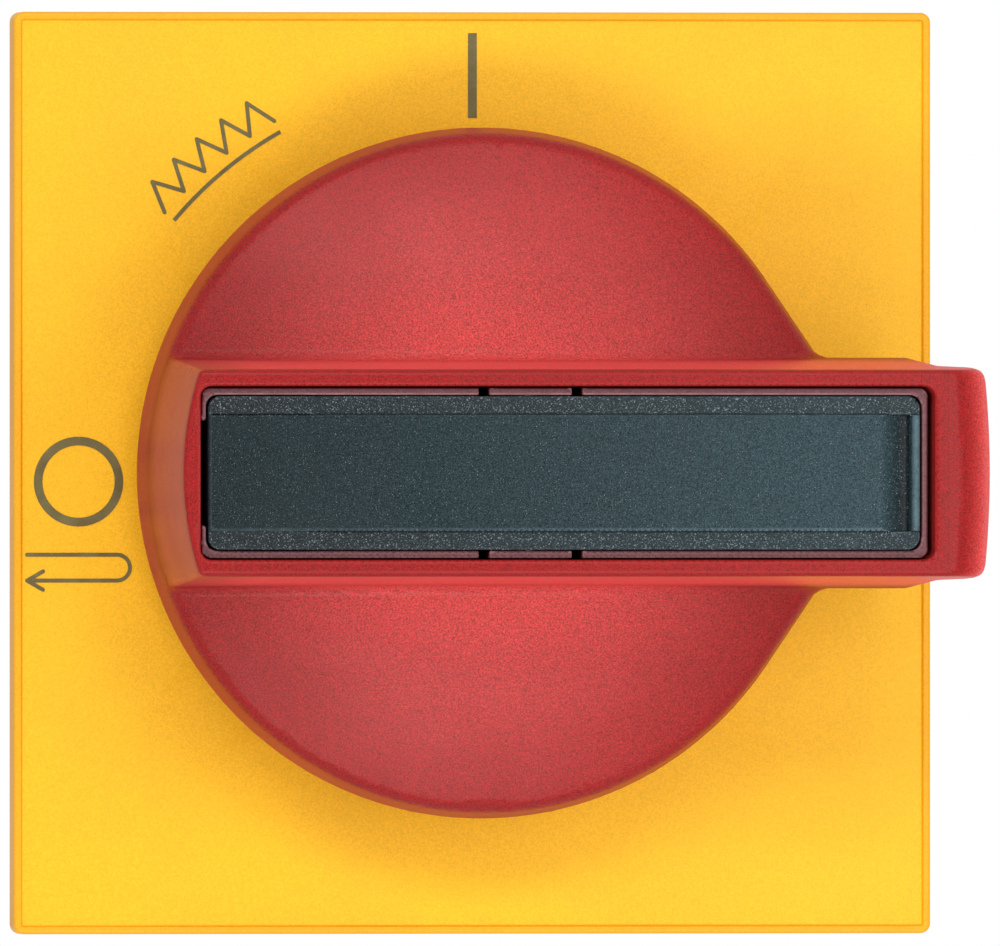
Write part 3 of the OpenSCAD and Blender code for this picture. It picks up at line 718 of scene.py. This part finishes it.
def shell_field(x, y, z):
    """Handle: skirt, dome and grip, hollow behind, with the slot and the bores."""
    h = -y
    body = both(teardrop(x, z, skirt_radius(h)), dome(x, h, z), 0.9)
    body = both(body, np.maximum(SKIRT_H - h, x - FLANK_X - 0.4), 0.3)
    out = joined(body, grip(x, h, z), 0.9)
    hollow = np.maximum(teardrop(x, z, SKIRT_R - SHELL_T), dome(x, h, z, SHELL_T))
    hollow = np.maximum(hollow, np.minimum(h - SLOT_UNDER_H, GRIP_FOOT - 0.5 - np.abs(z)))
    hollow = np.maximum(hollow, x - FLANK_X + 2.5)
    posts = np.minimum(disc(x, z, 8.6), disc(x, z, 4.4, BOLT_X))
    hollow = cut(hollow, np.maximum(posts, 5.2 - h), 0.3)
    out = cut(out, hollow, 0.25)
    slot = both(rect(x, z, SLOT_X0 + 0.2, SLOT_X1, -SLOT_HALF, SLOT_HALF, 0.9), SLOT_FLOOR_H - h, 0.3)
    out = cut(out, slot, 0.3)
    out = cut(out, np.maximum(disc(x, z, 6.5), h - SLOT_UNDER_H), 0.2)
    out = np.maximum(out, -disc(x, z, 2.0))
    out = np.maximum(out, -disc(x, z, 2.05, BOLT_X))
    return cut(out, np.maximum(disc(x, z, 3.4, BOLT_X), 9.7 - h), 0.15)


def liner_field(x, y, z):
    """Thin frame in the slot, with slits that free a tongue on each side for the pin."""
    h = -y
    outer_half, inner_half = SLOT_HALF - 0.12, SLOT_HALF - 0.72
    out = rect(x, z, SLOT_X0 + 0.3, SLOT_X1 - 0.45, -outer_half, outer_half, 0.8)
    inner = rect(x, z, SLOT_X0 + 0.7, SLOT_X1 - 0.98, -inner_half, inner_half, 0.9)
    out = slab(cut(out, inner, 0.08), h, SLOT_FLOOR_H, LINER_H, 0.1)
    out = cut(out, np.maximum(np.maximum(x - SLOT_X0 - 1.5, np.abs(z) - 4.2), 24 - h), 0.3)
    slit = between(np.abs(x - PIVOT_X) - 3.77, -0.425, 0.425)
    out = cut(out, np.maximum(slit, 23 - h), 0.1)
    return np.maximum(out, -disc(x, h, PIN_R, PIVOT_X, PIVOT_H))




def bar_field(x, y, z):
    """Padlock bar: a plate with lowered edge bands and a finger scoop, on two cheeks with the eye."""
    h = -y
    half = BAR_HALF - 0.05
    outline = rect(x, z, BAR_X0 + 0.2, BAR_X1, -half, half, 1.0)
    top = slab(outline, h, BAR_UNDER_H, BAR_H, 0.35)
    ramp = np.clip((x + 17) / 3, 0, 1)
    step = 0.08 + 0.26 * ramp * ramp * (3 - 2 * ramp) + 0.14 * (np.abs(z) - FIELD_HALF)
    top = cut(top, np.maximum(FIELD_HALF - np.abs(z), BAR_H - step - h), 0.09)
    run = np.clip((x - SCOOP_X0) / (SCOOP_X1 - 0.35 - SCOOP_X0), 0, 1)
    dip = SCOOP_DEEP * run * run * (3 - 2 * run)
    rise = np.clip((x - SCOOP_X1 + 0.35) / 0.7, 0, 1)
    scoop = (BAR_H + 0.02 - dip * (1 - rise * rise * (3 - 2 * rise)) - h) * 0.75
    top = cut(top, np.maximum(scoop, np.abs(z) - FIELD_HALF), 0.05)
    block = slab(rect(x, z, PIVOT_X - 3.6, PIVOT_X + 3.6, -half, half, 0.3), h,
                 PIVOT_H - 2.6, BAR_UNDER_H + 0.2, 0.3)
    u, v = x - PIVOT_X, h - PIVOT_H
    under = BAR_UNDER_H - PIVOT_H
    swung = u * math.sin(SWING) + v * math.cos(SWING)
    front = GRIP_H - PIVOT_H
    reach = np.hypot(u, v)
    cheek = np.maximum(np.maximum(reach - 31, 7 - u), np.maximum(v - under - 0.2, front - 1.6 - swung))
    eye = np.maximum(np.maximum(reach - 29.2, 9 - u), np.maximum(v - under, front - swung))
    cheek = slab(cut(cheek, eye, 0.2), np.abs(z), 3.6, 5.6, 0.25)
    out = joined(joined(top, block, 0.3), cheek, 0.3)
    return np.maximum(out, -disc(x, h, PIN_R + 0.05, PIVOT_X, PIVOT_H))


form("handle_shell", shell_field, voxel=0.16, adaptivity=0.02)
form("grip_liner", liner_field, voxel=0.14)
form("padlock_bar", bar_field, voxel=0.12, adaptivity=0.003)


# ---------------------------------------------------------------- shared shapes

def thread(u, v, along, r, pitch=0.7, depth=0.3):
    """Screw thread on an axis across u and v, with its crest at radius r."""
    turn = (along / pitch - np.arctan2(v, u) / (2 * math.pi)) % 1
    return 0.85 * (np.hypot(u, v) - r + depth * np.abs(2 * turn - 1))


def cross(u, v, length, width):
    """Outline of a cross recess."""
    return np.minimum(rect(u, v, -length / 2, length / 2, -width / 2, width / 2, 0.15),
                      rect(u, v, -width / 2, width / 2, -length / 2, length / 2, 0.15))


def coil(start, axis, length, r, wire, turns):
    """Spring along an axis (0, 1 or 2) from start, with a closed turn at both ends."""
    steps, sides = 28 * (turns + 2), 10
    travel = np.linspace(0, turns + 2, steps)
    pitch = (length - 6 * wire) / turns
    lift = wire + 2 * wire * np.minimum(travel, 1) + pitch * np.clip(travel - 1, 0, turns)
    lift = lift + 2 * wire * np.maximum(travel - turns - 1, 0)
    a = 2 * math.pi * travel
    b = 2 * math.pi * np.arange(sides) / sides
    across = [k for k in range(3) if k != axis]
    reach = r + wire * np.cos(b)[None, :]
    points = np.zeros((steps, sides, 3))
    normals = np.zeros((steps, sides, 3))
    points[:, :, axis] = lift[:, None] + wire * np.sin(b)[None, :]
    normals[:, :, axis] = np.sin(b)[None, :]
    for k, wave in zip(across, (np.cos(a), np.sin(a))):
        points[:, :, k] = reach * wave[:, None]
        normals[:, :, k] = np.cos(b)[None, :] * wave[:, None]
    i, k = np.meshgrid(np.arange(steps - 1), np.arange(sides), indexing="ij")
    m = (k + 1) % sides
    corners = [i * sides + k, (i + 1) * sides + k, (i + 1) * sides + m, i * sides + m]
    quads = np.stack(corners, -1).reshape(-1, 4)
    faces = np.concatenate([quads[:, [0, 1, 2]], quads[:, [0, 2, 3]]])
    ends = [[(0, j, j + 1), ((steps - 1) * sides, (steps - 1) * sides + j + 1, (steps - 1) * sides + j)]
            for j in range(1, sides - 1)]
    faces = np.concatenate([faces, np.array(ends).reshape(-1, 3)])
    points = points.reshape(-1, 3) + np.array(start)
    return points, faces, normals.reshape(-1, 3), np.zeros(len(points))


# ---------------------------------------------------------------- what carries the handle on the door

bearing_low, bearing_high = extent("bearing_plate")
BEARING_W = bearing_high[0] - bearing_low[0]
BEARING_H = 2.4
SPIGOT_R, SPIGOT_Y = 11.0, bearing_high[1]
HUB_R = 5.95
SCREW_AT = 18.0
GASKET_MID, GASKET_HALF, GASKET_T = 54.5, 1.75, 1.2
SHAFT_W = extent("square_shaft")[1][0] * 2


def at_screw(x, z):
    """Distance from the nearest of the four door screws."""
    return np.hypot(np.abs(x) - SCREW_AT, np.abs(z) - SCREW_AT)


def bearing_field(x, y, z):
    """Plate with a collar and a spigot round the hub, and places for seal, gasket and screws."""
    r = np.hypot(x, z)
    at = at_screw(x, z)
    out = slab(square(x, z, BEARING_W, 0.6), y, -BEARING_H, 0, 0.25)
    out = joined(out, slab(r - 7.4, y, bearing_low[1], 0, 0.25), 0.3)
    out = joined(out, slab(r - SPIGOT_R, y, -1, SPIGOT_Y, 0.5), 0.2)
    out = cut(out, r - HUB_R - 0.05, 0.2)
    out = np.maximum(out, -slab(r - 7.2, y, 0.2, 2.2))
    ribs = np.minimum(np.abs(x), np.abs(z)) - 0.8
    pocket = np.maximum(np.maximum(square(x, z, 46, 2), 12 - r), np.maximum(6 - at, -ribs))
    out = cut(out, np.maximum(pocket, y + 1.6), 0.2)
    sink = np.minimum(at - 2.05, 0.725 * (at - 3.9 + 0.95 * (y + BEARING_H)))
    out = cut(cut(out, sink, 0.12), slab(at - 3.3, y, -0.6, 1), 0.1)
    trough = np.abs(square(x, z, GASKET_MID, 1.0)) - GASKET_HALF - 0.03
    out = cut(out, np.maximum(trough, -GASKET_T - y), 0.1)
    for cx, cz in ((BOLT_X, 0), (0, -BOLT_X)):
        out = cut(out, np.maximum(disc(x, z, 2.3, cx, cz), y + 0.2), 0.12)
    return out


def gasket_field(x, y, z):
    """Square seal with two lips."""
    across = np.abs(square(x, z, GASKET_MID, 1.0))
    out = slab(across - GASKET_HALF, y, -GASKET_T, 0, 0.3)
    return cut(out, both(across - 0.6, -0.45 - y, 0.2), 0.2)


def seal_field(x, y, z):
    """Round rubber ring in its groove."""
    return np.hypot(np.hypot(x, z) - 6.6, y - 1.2) - 0.6


def door_screw_field(x, y, z):
    """Countersunk screw with a cross recess, on the Y axis."""
    r = np.hypot(x, z)
    head = np.maximum(0.725 * (r - 3.9 + 0.95 * (y + BEARING_H)), r - 3.85)
    shank = np.where(y < 2.8, r - 2.0, thread(x, z, y, 2.0))
    out = both(joined(head, shank, 0.1), between(y, -BEARING_H, 10), 0.1)
    out = np.maximum(out, 0.7 * (r + y - 11.4))
    return cut(out, np.maximum(cross(x, z, 4.2, 0.9), y + 1.2), 0.08)


def nut_field(x, y, z):
    """Square nut with a domed face."""
    r = np.hypot(x, z)
    out = both(slab(square(x, z, 7, 0.4), y, 6, 9.2, 0.2), 0.8 * (r - 4.4 - (y - 6)), 0.1)
    return cut(out, r - 1.95, 0.25)


def at_corners(shape, x, z):
    """Four copies of a shape, one in each corner."""
    return together([moved(shape, x=i * x, z=j * z) for i in (-1, 1) for j in (-1, 1)])


form("bearing_plate", bearing_field, voxel=0.22)
form("door_gasket", gasket_field, voxel=0.2)
form("shaft_seal", seal_field, voxel=0.12)
screw = field_mesh(door_screw_field, (-4, -BEARING_H, -4), (4, 10, 4), voxel=0.11)
add_piece("door_screws", *at_corners(screw, SCREW_AT, SCREW_AT))
nut = field_mesh(nut_field, (-3.6, 6, -3.6), (3.6, 9.2, 3.6), voxel=0.13)
add_piece("clamp_nuts", *at_corners(nut, SCREW_AT, SCREW_AT))


# ---------------------------------------------------------------- inside the handle

COLLAR_H = 26.55
hub_high = extent("handle_hub")[1]
hub_screw_low, hub_screw_high = extent("hub_screw")
shaft_low, shaft_high = extent("square_shaft")
spring_low, spring_high = extent("lock_bolt_spring")


def pin_field(x, y, z):
    """Pin that the bar rocks on, across the grip."""
    return slab(disc(x, -y, PIN_R, PIVOT_X, PIVOT_H), z, pin_low[2], pin_high[2], 0.3)


def bolt_field(x, y, z):
    """Lock bolt: a chamfered tip, a collar for the spring and a round nose."""
    h = -y
    r = np.hypot(x - BOLT_X, z)
    nose_h = -bolt_low[1] - 1.6
    out = slab(r - 2, h, -bolt_high[1], 26, 0.5)
    out = cut(out, np.hypot(r - 2.1, h - 22) - 0.45, 0.1)
    out = joined(out, slab(r - 3.2, h, COLLAR_H - 1.2, COLLAR_H, 0.3), 0.2)
    nose = np.maximum(np.hypot(r, np.maximum(h - nose_h, 0)) - 1.6, 26 - h)
    return joined(out, nose, 0.3)


def hub_field(x, y, z):
    """Driver with a keyed flange in front, a square socket behind and a hole for its screw."""
    h = -y
    r = np.hypot(x, z)
    out = slab(r - 6.45, h, 9, SLOT_UNDER_H, 0.35)
    out = joined(out, slab(r - HUB_R, h, -hub_high[1], 10, 0.4), 0.25)
    keys = np.minimum(np.abs(x), np.abs(z)) - 0.9
    out = cut(out, np.maximum(np.maximum(keys, 4.2 - r), SLOT_UNDER_H - 0.7 - h), 0.15)
    out = cut(out, np.maximum(square(x, z, SHAFT_W + 0.04, 0.1), h - 7), 0.15)
    return np.maximum(out, -np.maximum(r - 2, 6 - h))


def hub_screw_field(x, y, z):
    """Pan head screw with a cross recess."""
    h = -y
    r = np.hypot(x, z)
    top = -hub_screw_low[1]
    out = both(slab(r - 3.5, h, SLOT_FLOOR_H, top, 0.2), np.hypot(r, h - top + 9) - 9, 0.7)
    shank = np.where(h > 14.5, r - 2.0, thread(x, z, h, 2.0))
    shank = np.maximum(shank, between(h, -hub_screw_high[1], top - 1))
    out = joined(out, np.maximum(shank, 0.7 * (r - h + 6.2)), 0.15)
    return cut(out, np.maximum(cross(x, z, 3.8, 0.9), top - 1.2 - h), 0.1)


def shaft_field(x, y, z):
    """Square shaft with chamfered ends."""
    return slab(square(x, z, SHAFT_W, 0.3), y, shaft_low[1], shaft_high[1], 0.4)


form("bar_pivot_pin", pin_field, voxel=0.12)
form("lock_bolt", bolt_field, voxel=0.12)
form("handle_hub", hub_field, voxel=0.14)
form("hub_screw", hub_screw_field, voxel=0.1)
form("square_shaft", shaft_field, voxel=0.16)
lock_spring = coil((BOLT_X, spring_low[1], 0), 1, spring_high[1] - spring_low[1], 2.55, 0.25, 8)
add_piece("lock_bolt_spring", *lock_spring)


# ---------------------------------------------------------------- latch behind the door

latch_low, latch_high = extent("latch_housing")
BODY_W = latch_high[0] - latch_low[0]
LATCH_Y0, LATCH_Y1 = latch_low[1], latch_high[1]
CAVITY_Y, CAVITY_R = LATCH_Y0 + 3, 14.5
TIE_X, TIE_Z, TIE_R = 20.0, 6.5, 1.5
wheel_low, wheel_high = extent("detent_wheel")
WHEEL_R = wheel_high[0]
plunger_low, plunger_high = extent("detent_plunger_right")
PLUNGER_MID = (plunger_low[1] + plunger_high[1]) / 2
SPRING_END = 22.0
STOP_Y0 = extent("stop_plate")[0][1]
STOP_AT = 10.0


def at_tie(x, z):
    """Distance from the nearest of the four tie bolts."""
    return np.hypot(np.abs(x) - TIE_X, np.abs(z) - TIE_Z)


def latch_field(x, y, z):
    """Block with grip grooves, a round cavity, plunger channels, and pockets for nuts and bolts."""
    r = np.hypot(x, z)
    ax, az = np.abs(x), np.abs(z)
    out = slab(square(x, z, BODY_W, 2.2), y, LATCH_Y0, LATCH_Y1, 0.5)
    wave = np.abs((x + 1.5) % 3 - 1.5) - 0.6
    flute = np.maximum(np.maximum(wave, ax - 12), np.maximum(BODY_W / 2 - 0.45 - az, between(y, 5.5, 14.5)))
    out = cut(out, flute, 0.2)
    out = cut(out, np.maximum(r - SPIGOT_R - 0.05, y - SPIGOT_Y), 0.25)
    out = np.maximum(out, 6.5 - r)
    out = cut(out, np.maximum(r - CAVITY_R, CAVITY_Y - y), 0.3)
    channel = slab(rect(x, z, -SPRING_END, SPRING_END, -3.05, 3.05, 0.2), y, plunger_low[1] - 0.05,
                   plunger_high[1] + 0.05)
    out = cut(out, channel, 0.1)
    out = cut(out, slab(rect(ax, az, 14.5, 26, 14.5, 21.5, 0.3), y, CAVITY_Y, CAVITY_Y + 3.2), 0.15)
    out = np.maximum(out, -np.maximum(at_screw(x, z) - 2.05, y - 10))
    out = cut(out, at_tie(x, z) - TIE_R, 0.15)
    return cut(out, np.maximum(at_tie(x, z) - 2.85, y - LATCH_Y0 - 2), 0.15)


def wheel_field(x, y, z):
    """Star with eight notches, a hub, a web on its front and the stop pin on its back."""
    r = np.hypot(x, z)
    a = (np.arctan2(z, x) + math.pi / 8) % (math.pi / 4) - math.pi / 8
    out = slab(r - WHEEL_R, y, plunger_low[1], plunger_low[1] + 5.5, 0.35)
    out = cut(out, disc(r * np.cos(a), r * np.sin(a), 1.4, WHEEL_R + 0.6), 0.4)
    out = cut(out, np.maximum(np.abs(r - 9.1) - 1.7, y - plunger_low[1] - 1.2), 0.3)
    out = joined(out, slab(r - 6.2, y, wheel_low[1], STOP_Y0 - 0.3, 0.3), 0.4)
    pin = STOP_AT * math.sqrt(0.5)
    out = joined(out, slab(disc(x, z, 1.2, -pin, pin), y, plunger_low[1] + 5, wheel_high[1], 0.25), 0.3)
    return cut(out, square(x, z, SHAFT_W + 0.04, 0.1), 0.2)


def plunger_field(x, y, z):
    """Plunger with a round nose on the wheel's side and a shallow seat for its spring."""
    nose_x = plunger_low[0] + 3
    outline = np.maximum(np.where(x < nose_x, np.hypot(x - nose_x, z), np.abs(z)) - 3, x - plunger_high[0])
    out = slab(outline, y, plunger_low[1], plunger_high[1], 0.3)
    return cut(out, np.maximum(np.hypot(y - PLUNGER_MID, z) - 2.15, plunger_high[0] - 0.5 - x), 0.1)


def stop_field(x, y, z):
    """Steel disc with a curved slot for the stop pin."""
    r = np.hypot(x, z)
    turn = np.clip(np.arctan2(z, x), math.radians(43.3), math.radians(136.7))
    slot = np.hypot(x - STOP_AT * np.cos(turn), z - STOP_AT * np.sin(turn)) - 1.5
    out = slab(np.maximum(r - CAVITY_R + 0.05, 6.5 - r), y, STOP_Y0, LATCH_Y1, 0.15)
    return cut(out, slot, 0.12)


form("latch_housing", latch_field, voxel=0.2)
form("detent_wheel", wheel_field, voxel=0.16)
form("stop_plate", stop_field, voxel=0.14)
plunger = field_mesh(plunger_field, plunger_low, plunger_high, voxel=0.12)
spring = coil((plunger_high[0] - 0.45, PLUNGER_MID, 0), 0, SPRING_END - plunger_high[0] + 0.4, 1.7, 0.3, 4)
add_piece("detent_plunger_right", *plunger)
add_piece("detent_plunger_left", *mirrored(plunger))
add_piece("detent_spring_right", *spring)
add_piece("detent_spring_left", *mirrored(spring))


# ---------------------------------------------------------------- contact decks

# A deck's parts are formed in deck 1, then moved back by a deck for each pole. A deck is the same
# after half a turn about Y, so its fields fold the lower half onto the upper one.

deck_low, deck_high = extent("deck_housing_1")
DECK_Y0 = deck_low[1]
DECK_T = deck_high[1] - deck_low[1]
MID_Y = DECK_Y0 + DECK_T / 2
FLOOR_T = 1.5
TERMINAL_X, TERMINAL_Z = 13.0, 17.5
BLADE_T, BLADE_NEAR = 1.1, 0.8
CONTACT_HALF_T = 0.7


def folded(x, z):
    """A place in the deck's lower half, turned by half a turn into its upper half."""
    return np.where(z < 0, -x, x), np.abs(z)


def deck_field(x, y, z):
    """Deck body with its cavity, terminals' pockets, wire entries, screw holes and side panels."""
    r = np.hypot(x, z)
    u, v = folded(x, z)
    ax = np.abs(x)
    out = slab(square(x, z, BODY_W, 2.2), y, DECK_Y0, DECK_Y0 + DECK_T, 0.5)
    panel = np.minimum(np.maximum(BODY_W / 2 - 0.5 - ax, rect(y - MID_Y, z, -4.6, 4.6, -10.5, 10.5, 1.0)),
                       np.maximum(BODY_W / 2 - 0.5 - v, rect(y - MID_Y, u, -4.6, 4.6, -20, 5.5, 1.0)))
    out = cut(out, panel, 0.25)
    out = np.maximum(out, 5.5 - r)
    out = cut(out, np.maximum(r - 13.2, DECK_Y0 + FLOOR_T - y), 0.25)
    out = np.maximum(out, -slab(rect(u, v, 8.6, 17.4, 14.5, 20.5, 0.2), y, MID_Y - 4, MID_Y + 4))
    funnel = np.clip(0.6 * (v - BODY_W / 2 + 1.5), 0, 0.9)
    out = cut(out, slab(rect(u, v, 10, 16.2, 12, 30, 0.3), y, MID_Y - 3, MID_Y + 3) - funnel, 0.2)
    out = np.maximum(out, -slab(rect(u, v, -2.6, 10.4, 8, 16, 0.1), y, MID_Y - 0.7, MID_Y + 0.7))
    access = np.hypot(y - MID_Y, v - TERMINAL_Z) - 3.2 - np.clip(0.6 * (u - BODY_W / 2 + 0.8), 0, 0.5)
    out = cut(out, np.maximum(access, -u), 0.15)
    return cut(out, at_tie(x, z) - TIE_R, 0.15)


def blade_outline(x, z):
    """Outline of a blade: a ring round the rotor's hub and an arm on each side."""
    r = np.hypot(x, z)
    return np.maximum(np.minimum(rect(x, z, -12.5, 12.5, -2.6, 2.6, 1.0), r - 6.5), 4.6 - r)


def blades(x, y, z, r=0.0):
    """Two bridging blades, one on each side of the fixed contacts."""
    return slab(blade_outline(x, z), np.abs(y - MID_Y), BLADE_NEAR, BLADE_NEAR + BLADE_T, r)


def rotor_field(x, y, z):
    """Rotor with a groove in its back, a square hole and places for the blades."""
    out = slab(np.hypot(x, z) - 9, y, DECK_Y0 + FLOOR_T + 0.3, DECK_Y0 + DECK_T - 0.3, 0.5)
    out = cut(out, np.maximum(np.abs(np.hypot(x, z) - 6.6) - 1.2, DECK_Y0 + DECK_T - 1.1 - y), 0.2)
    return np.maximum(cut(out, square(x, z, SHAFT_W + 0.04, 0.1), 0.2), -blades(x, y, z))


def moving_field(x, y, z):
    """The blades with rounded edges."""
    return blades(x, y, z, 0.2)


def fixed_field(x, y, z):
    """Strap from the contact's face to the tab that enters the clamp."""
    u, v = folded(x, z)
    flat = np.minimum(rect(u, v, -2.6, 2.6, 10, 14.4, 0.3), rect(u, v, -2.6, 11.2, 13.2, 14.4, 0.3))
    strap = slab(flat, np.abs(y - MID_Y), -1, CONTACT_HALF_T, 0.15)
    tab = slab(rect(u, v, 10, 11.2, 13.2, 21.2, 0.2), np.abs(y - MID_Y), -1, 2.9, 0.2)
    return joined(strap, tab, 0.2)


def clamp_field(x, y, z):
    """Cage clamp with a threaded top for its screw."""
    u, v = folded(x, z)
    depth = np.abs(y - MID_Y)
    out = slab(rect(u, v, 8.6, 17.4, 14.5, 20.5, 0.5), depth, -1, 4, 0.5)
    out = cut(out, slab(rect(u, v, 10, 16, 0, 30), depth, -1, 3), 0.15)
    return cut(out, np.maximum(np.hypot(y - MID_Y, v - TERMINAL_Z) - 2, TERMINAL_X - u), 0.15)


def terminal_screw_field(x, y, z):
    """Slotted screw that enters the clamp from the side."""
    u, v = folded(x, z)
    across, up = y - MID_Y, v - TERMINAL_Z
    r = np.hypot(across, up)
    shank = np.maximum(thread(across, up, u, 2.0), between(u, 15.9, 21))
    head = slab(r - 3, u, 19.5, 21.7, 0.35)
    return cut(joined(shank, head, 0.15), np.maximum(np.abs(up) - 0.45, 20.7 - u), 0.08)


def in_decks(name, field, voxel):
    """Forms a node of deck 1 and adds it in every deck."""
    shape = field_mesh(field, *extent(name + "_1"), voxel)
    for pole in (1, 2, 3):
        add_piece(name + "_" + str(pole), *moved(shape, y=(pole - 1) * DECK_T))


in_decks("deck_housing", deck_field, 0.2)
in_decks("contact_rotor", rotor_field, 0.16)
in_decks("moving_contacts", moving_field, 0.12)
in_decks("fixed_contacts", fixed_field, 0.13)
in_decks("terminal_clamps", clamp_field, 0.16)
in_decks("terminal_screws", terminal_screw_field, 0.12)


# ---------------------------------------------------------------- rear cover and tie bolts

cover_low, cover_high = extent("rear_cover")
ties_low, ties_high = extent("tie_bolts")
nuts_low, nuts_high = extent("tie_nuts")
NUT_AF = 3.1 * math.sqrt(3)


def cover_field(x, y, z):
    """Cover with a round recess on its back, crossed by four ribs, and a raised centre."""
    r = np.hypot(x, z)
    out = slab(square(x, z, BODY_W, 2.2), y, cover_low[1], cover_high[1], 0.7)
    out = cut(out, np.maximum(r - 5.5, y - cover_low[1] - 2), 0.1)
    ribs = np.minimum(np.abs(x - z), np.abs(x + z)) / math.sqrt(2) - 0.8
    recess = np.maximum(np.maximum(r - 15, 5 - r), -ribs)
    out = cut(out, np.maximum(recess, cover_high[1] - 1 - y), 0.3)
    corner = np.hypot(np.abs(x) - 19.5, np.abs(z) - 19.5) - 2.2
    out = cut(out, np.maximum(corner, cover_high[1] - 0.8 - y), 0.25)
    return cut(out, at_tie(x, z) - TIE_R, 0.15)


def tie_field(x, y, z):
    """Long bolt with a slotted head and a thread at its far end."""
    r = np.hypot(x, z)
    y0, y1 = ties_low[1], ties_high[1]
    shank = np.where(y < cover_low[1], r - 1.47, thread(x, z, y, TIE_R, 0.5, 0.22))
    out = joined(np.maximum(shank, between(y, y0 + 1, y1)), slab(r - 2.8, y, y0, y0 + 2, 0.3), 0.2)
    out = np.maximum(out, 0.7 * (r + y - y1 - 1))
    return cut(out, np.maximum(np.abs(z) - 0.4, y - y0 - 1), 0.08)


def tie_nut_field(x, y, z):
    """Hexagon nut with chamfered corners."""
    r = np.hypot(x, z)
    y0, y1 = nuts_low[1], nuts_high[1]
    sides = [np.abs(z), np.abs(0.866 * x + 0.5 * z), np.abs(0.866 * x - 0.5 * z)]
    hexagon = np.maximum(np.maximum(sides[0], sides[1]), sides[2]) - NUT_AF / 2
    slope = 0.87 * (r - 2.75 - 1.7 * np.minimum(y - y0, y1 - y))
    return cut(both(slab(hexagon, y, y0, y1, 0.05), slope, 0.1), r - TIE_R, 0.2)


form("rear_cover", cover_field, voxel=0.2)
tie = field_mesh(tie_field, (-2.9, ties_low[1], -2.9), (2.9, ties_high[1], 2.9), voxel=0.12)
add_piece("tie_bolts", *at_corners(tie, TIE_X, TIE_Z))
tie_nut = field_mesh(tie_nut_field, (-3.2, nuts_low[1], -3.2), (3.2, nuts_high[1], 3.2), voxel=0.1)
add_piece("tie_nuts", *at_corners(tie_nut, TIE_X, TIE_Z))

for name, node in frame["nodes"].items():
    if not node.hide_render:
        node.data.materials.clear()
        node.data.materials.append(finish(SLOT_OF[name]))


# ---------------------------------------------------------------- floor and light

def add_floor():
    """Small pale disc well under the object, so that light reaches it from below too."""
    radius, depth = 200, 2
    top = cad_box[0].z / MM - 150
    rings = [(radius - 1, top), (radius, top - 1), (radius, top - depth)]
    steps = 96
    points = [(r * math.cos(2 * math.pi * k / steps), r * math.sin(2 * math.pi * k / steps), z)
              for r, z in rings for k in range(steps)]
    faces = [tuple(range(steps))]
    for i in range(len(rings) - 1):
        for k in range(steps):
            m = (k + 1) % steps
            faces.append((i * steps + k, (i + 1) * steps + k, (i + 1) * steps + m, i * steps + m))
    mesh = bpy.data.meshes.new("floor")
    mesh.from_pydata([tuple(c * MM for c in p) for p in points], [], faces)
    s = Shader("floor")
    cloud = s.ramp(s.noise(30.0), 0.3, 0.7)
    s.surface(base_color=s.mix(cloud, linear(236, 236, 235), linear(242, 242, 241)), roughness=0.8)
    mesh.materials.append(s.material)
    floor = bpy.data.objects.new("floor", mesh)
    bpy.context.scene.collection.objects.link(floor)


def add_world(level=0.7, front=0.5, inner=14, outer=46):
    """White light tent, with a dim opening in front of the handle, where a camera would stand.

    inner and outer are the angles, in degrees from straight in front, between which the opening
    grows bright. The camera itself sees plain white.
    """
    world = bpy.data.worlds.new("studio")
    world.use_nodes = True
    tree = world.node_tree

    def link(source, target):
        tree.links.new(source, target)

    direction = tree.nodes.new("ShaderNodeTexCoord").outputs["Generated"]
    ahead = tree.nodes.new("ShaderNodeVectorMath")
    ahead.operation = "DOT_PRODUCT"
    link(direction, ahead.inputs[0])
    ahead.inputs[1].default_value = (-math.sin(VIEW_ANGLE), -math.cos(VIEW_ANGLE), 0)
    tent = tree.nodes.new("ShaderNodeMapRange")
    tent.interpolation_type = "SMOOTHSTEP"
    span = {"From Min": math.cos(math.radians(outer)), "From Max": math.cos(math.radians(inner)),
            "To Min": level, "To Max": front}
    for name, value in span.items():
        tent.inputs[name].default_value = value
    link(ahead.outputs["Value"], tent.inputs["Value"])
    seen = tree.nodes.new("ShaderNodeMix")
    link(tree.nodes.new("ShaderNodeLightPath").outputs["Is Camera Ray"], seen.inputs[0])
    link(tent.outputs[0], seen.inputs[2])
    seen.inputs[3].default_value = 1.0
    back = tree.nodes["Background"]
    back.inputs["Color"].default_value = (1, 1, 1, 1)
    link(seen.outputs[0], back.inputs["Strength"])
    bpy.context.scene.world = world


def add_softbox(name, azimuth, elevation, distance, width, height, watts):
    """Area light that faces the handle from a direction given in degrees, as for the camera."""
    data = bpy.data.lights.new(name, "AREA")
    data.shape = "RECTANGLE"
    data.size, data.size_y = width, height
    data.energy = watts
    light = bpy.data.objects.new(name, data)
    bpy.context.scene.collection.objects.link(light)
    a, e = math.radians(azimuth), math.radians(elevation)
    back = Vector((math.sin(a) * math.cos(e), -math.cos(a) * math.cos(e), math.sin(e)))
    light.location = back * distance
    light.rotation_mode = "QUATERNION"
    light.rotation_quaternion = back.to_track_quat("Z", "Y")
    light.visible_camera = False


add_floor()
add_world()
add_softbox("key_above", -6, 30, 0.9, 0.7, 0.2, 3.0)
add_softbox("key_below", -6, -30, 0.9, 0.7, 0.2, 3.0)
add_softbox("side_right", 25, 0, 0.22, 0.05, 0.12, 0.08)
bpy.context.scene.view_settings.view_transform = "Standard"
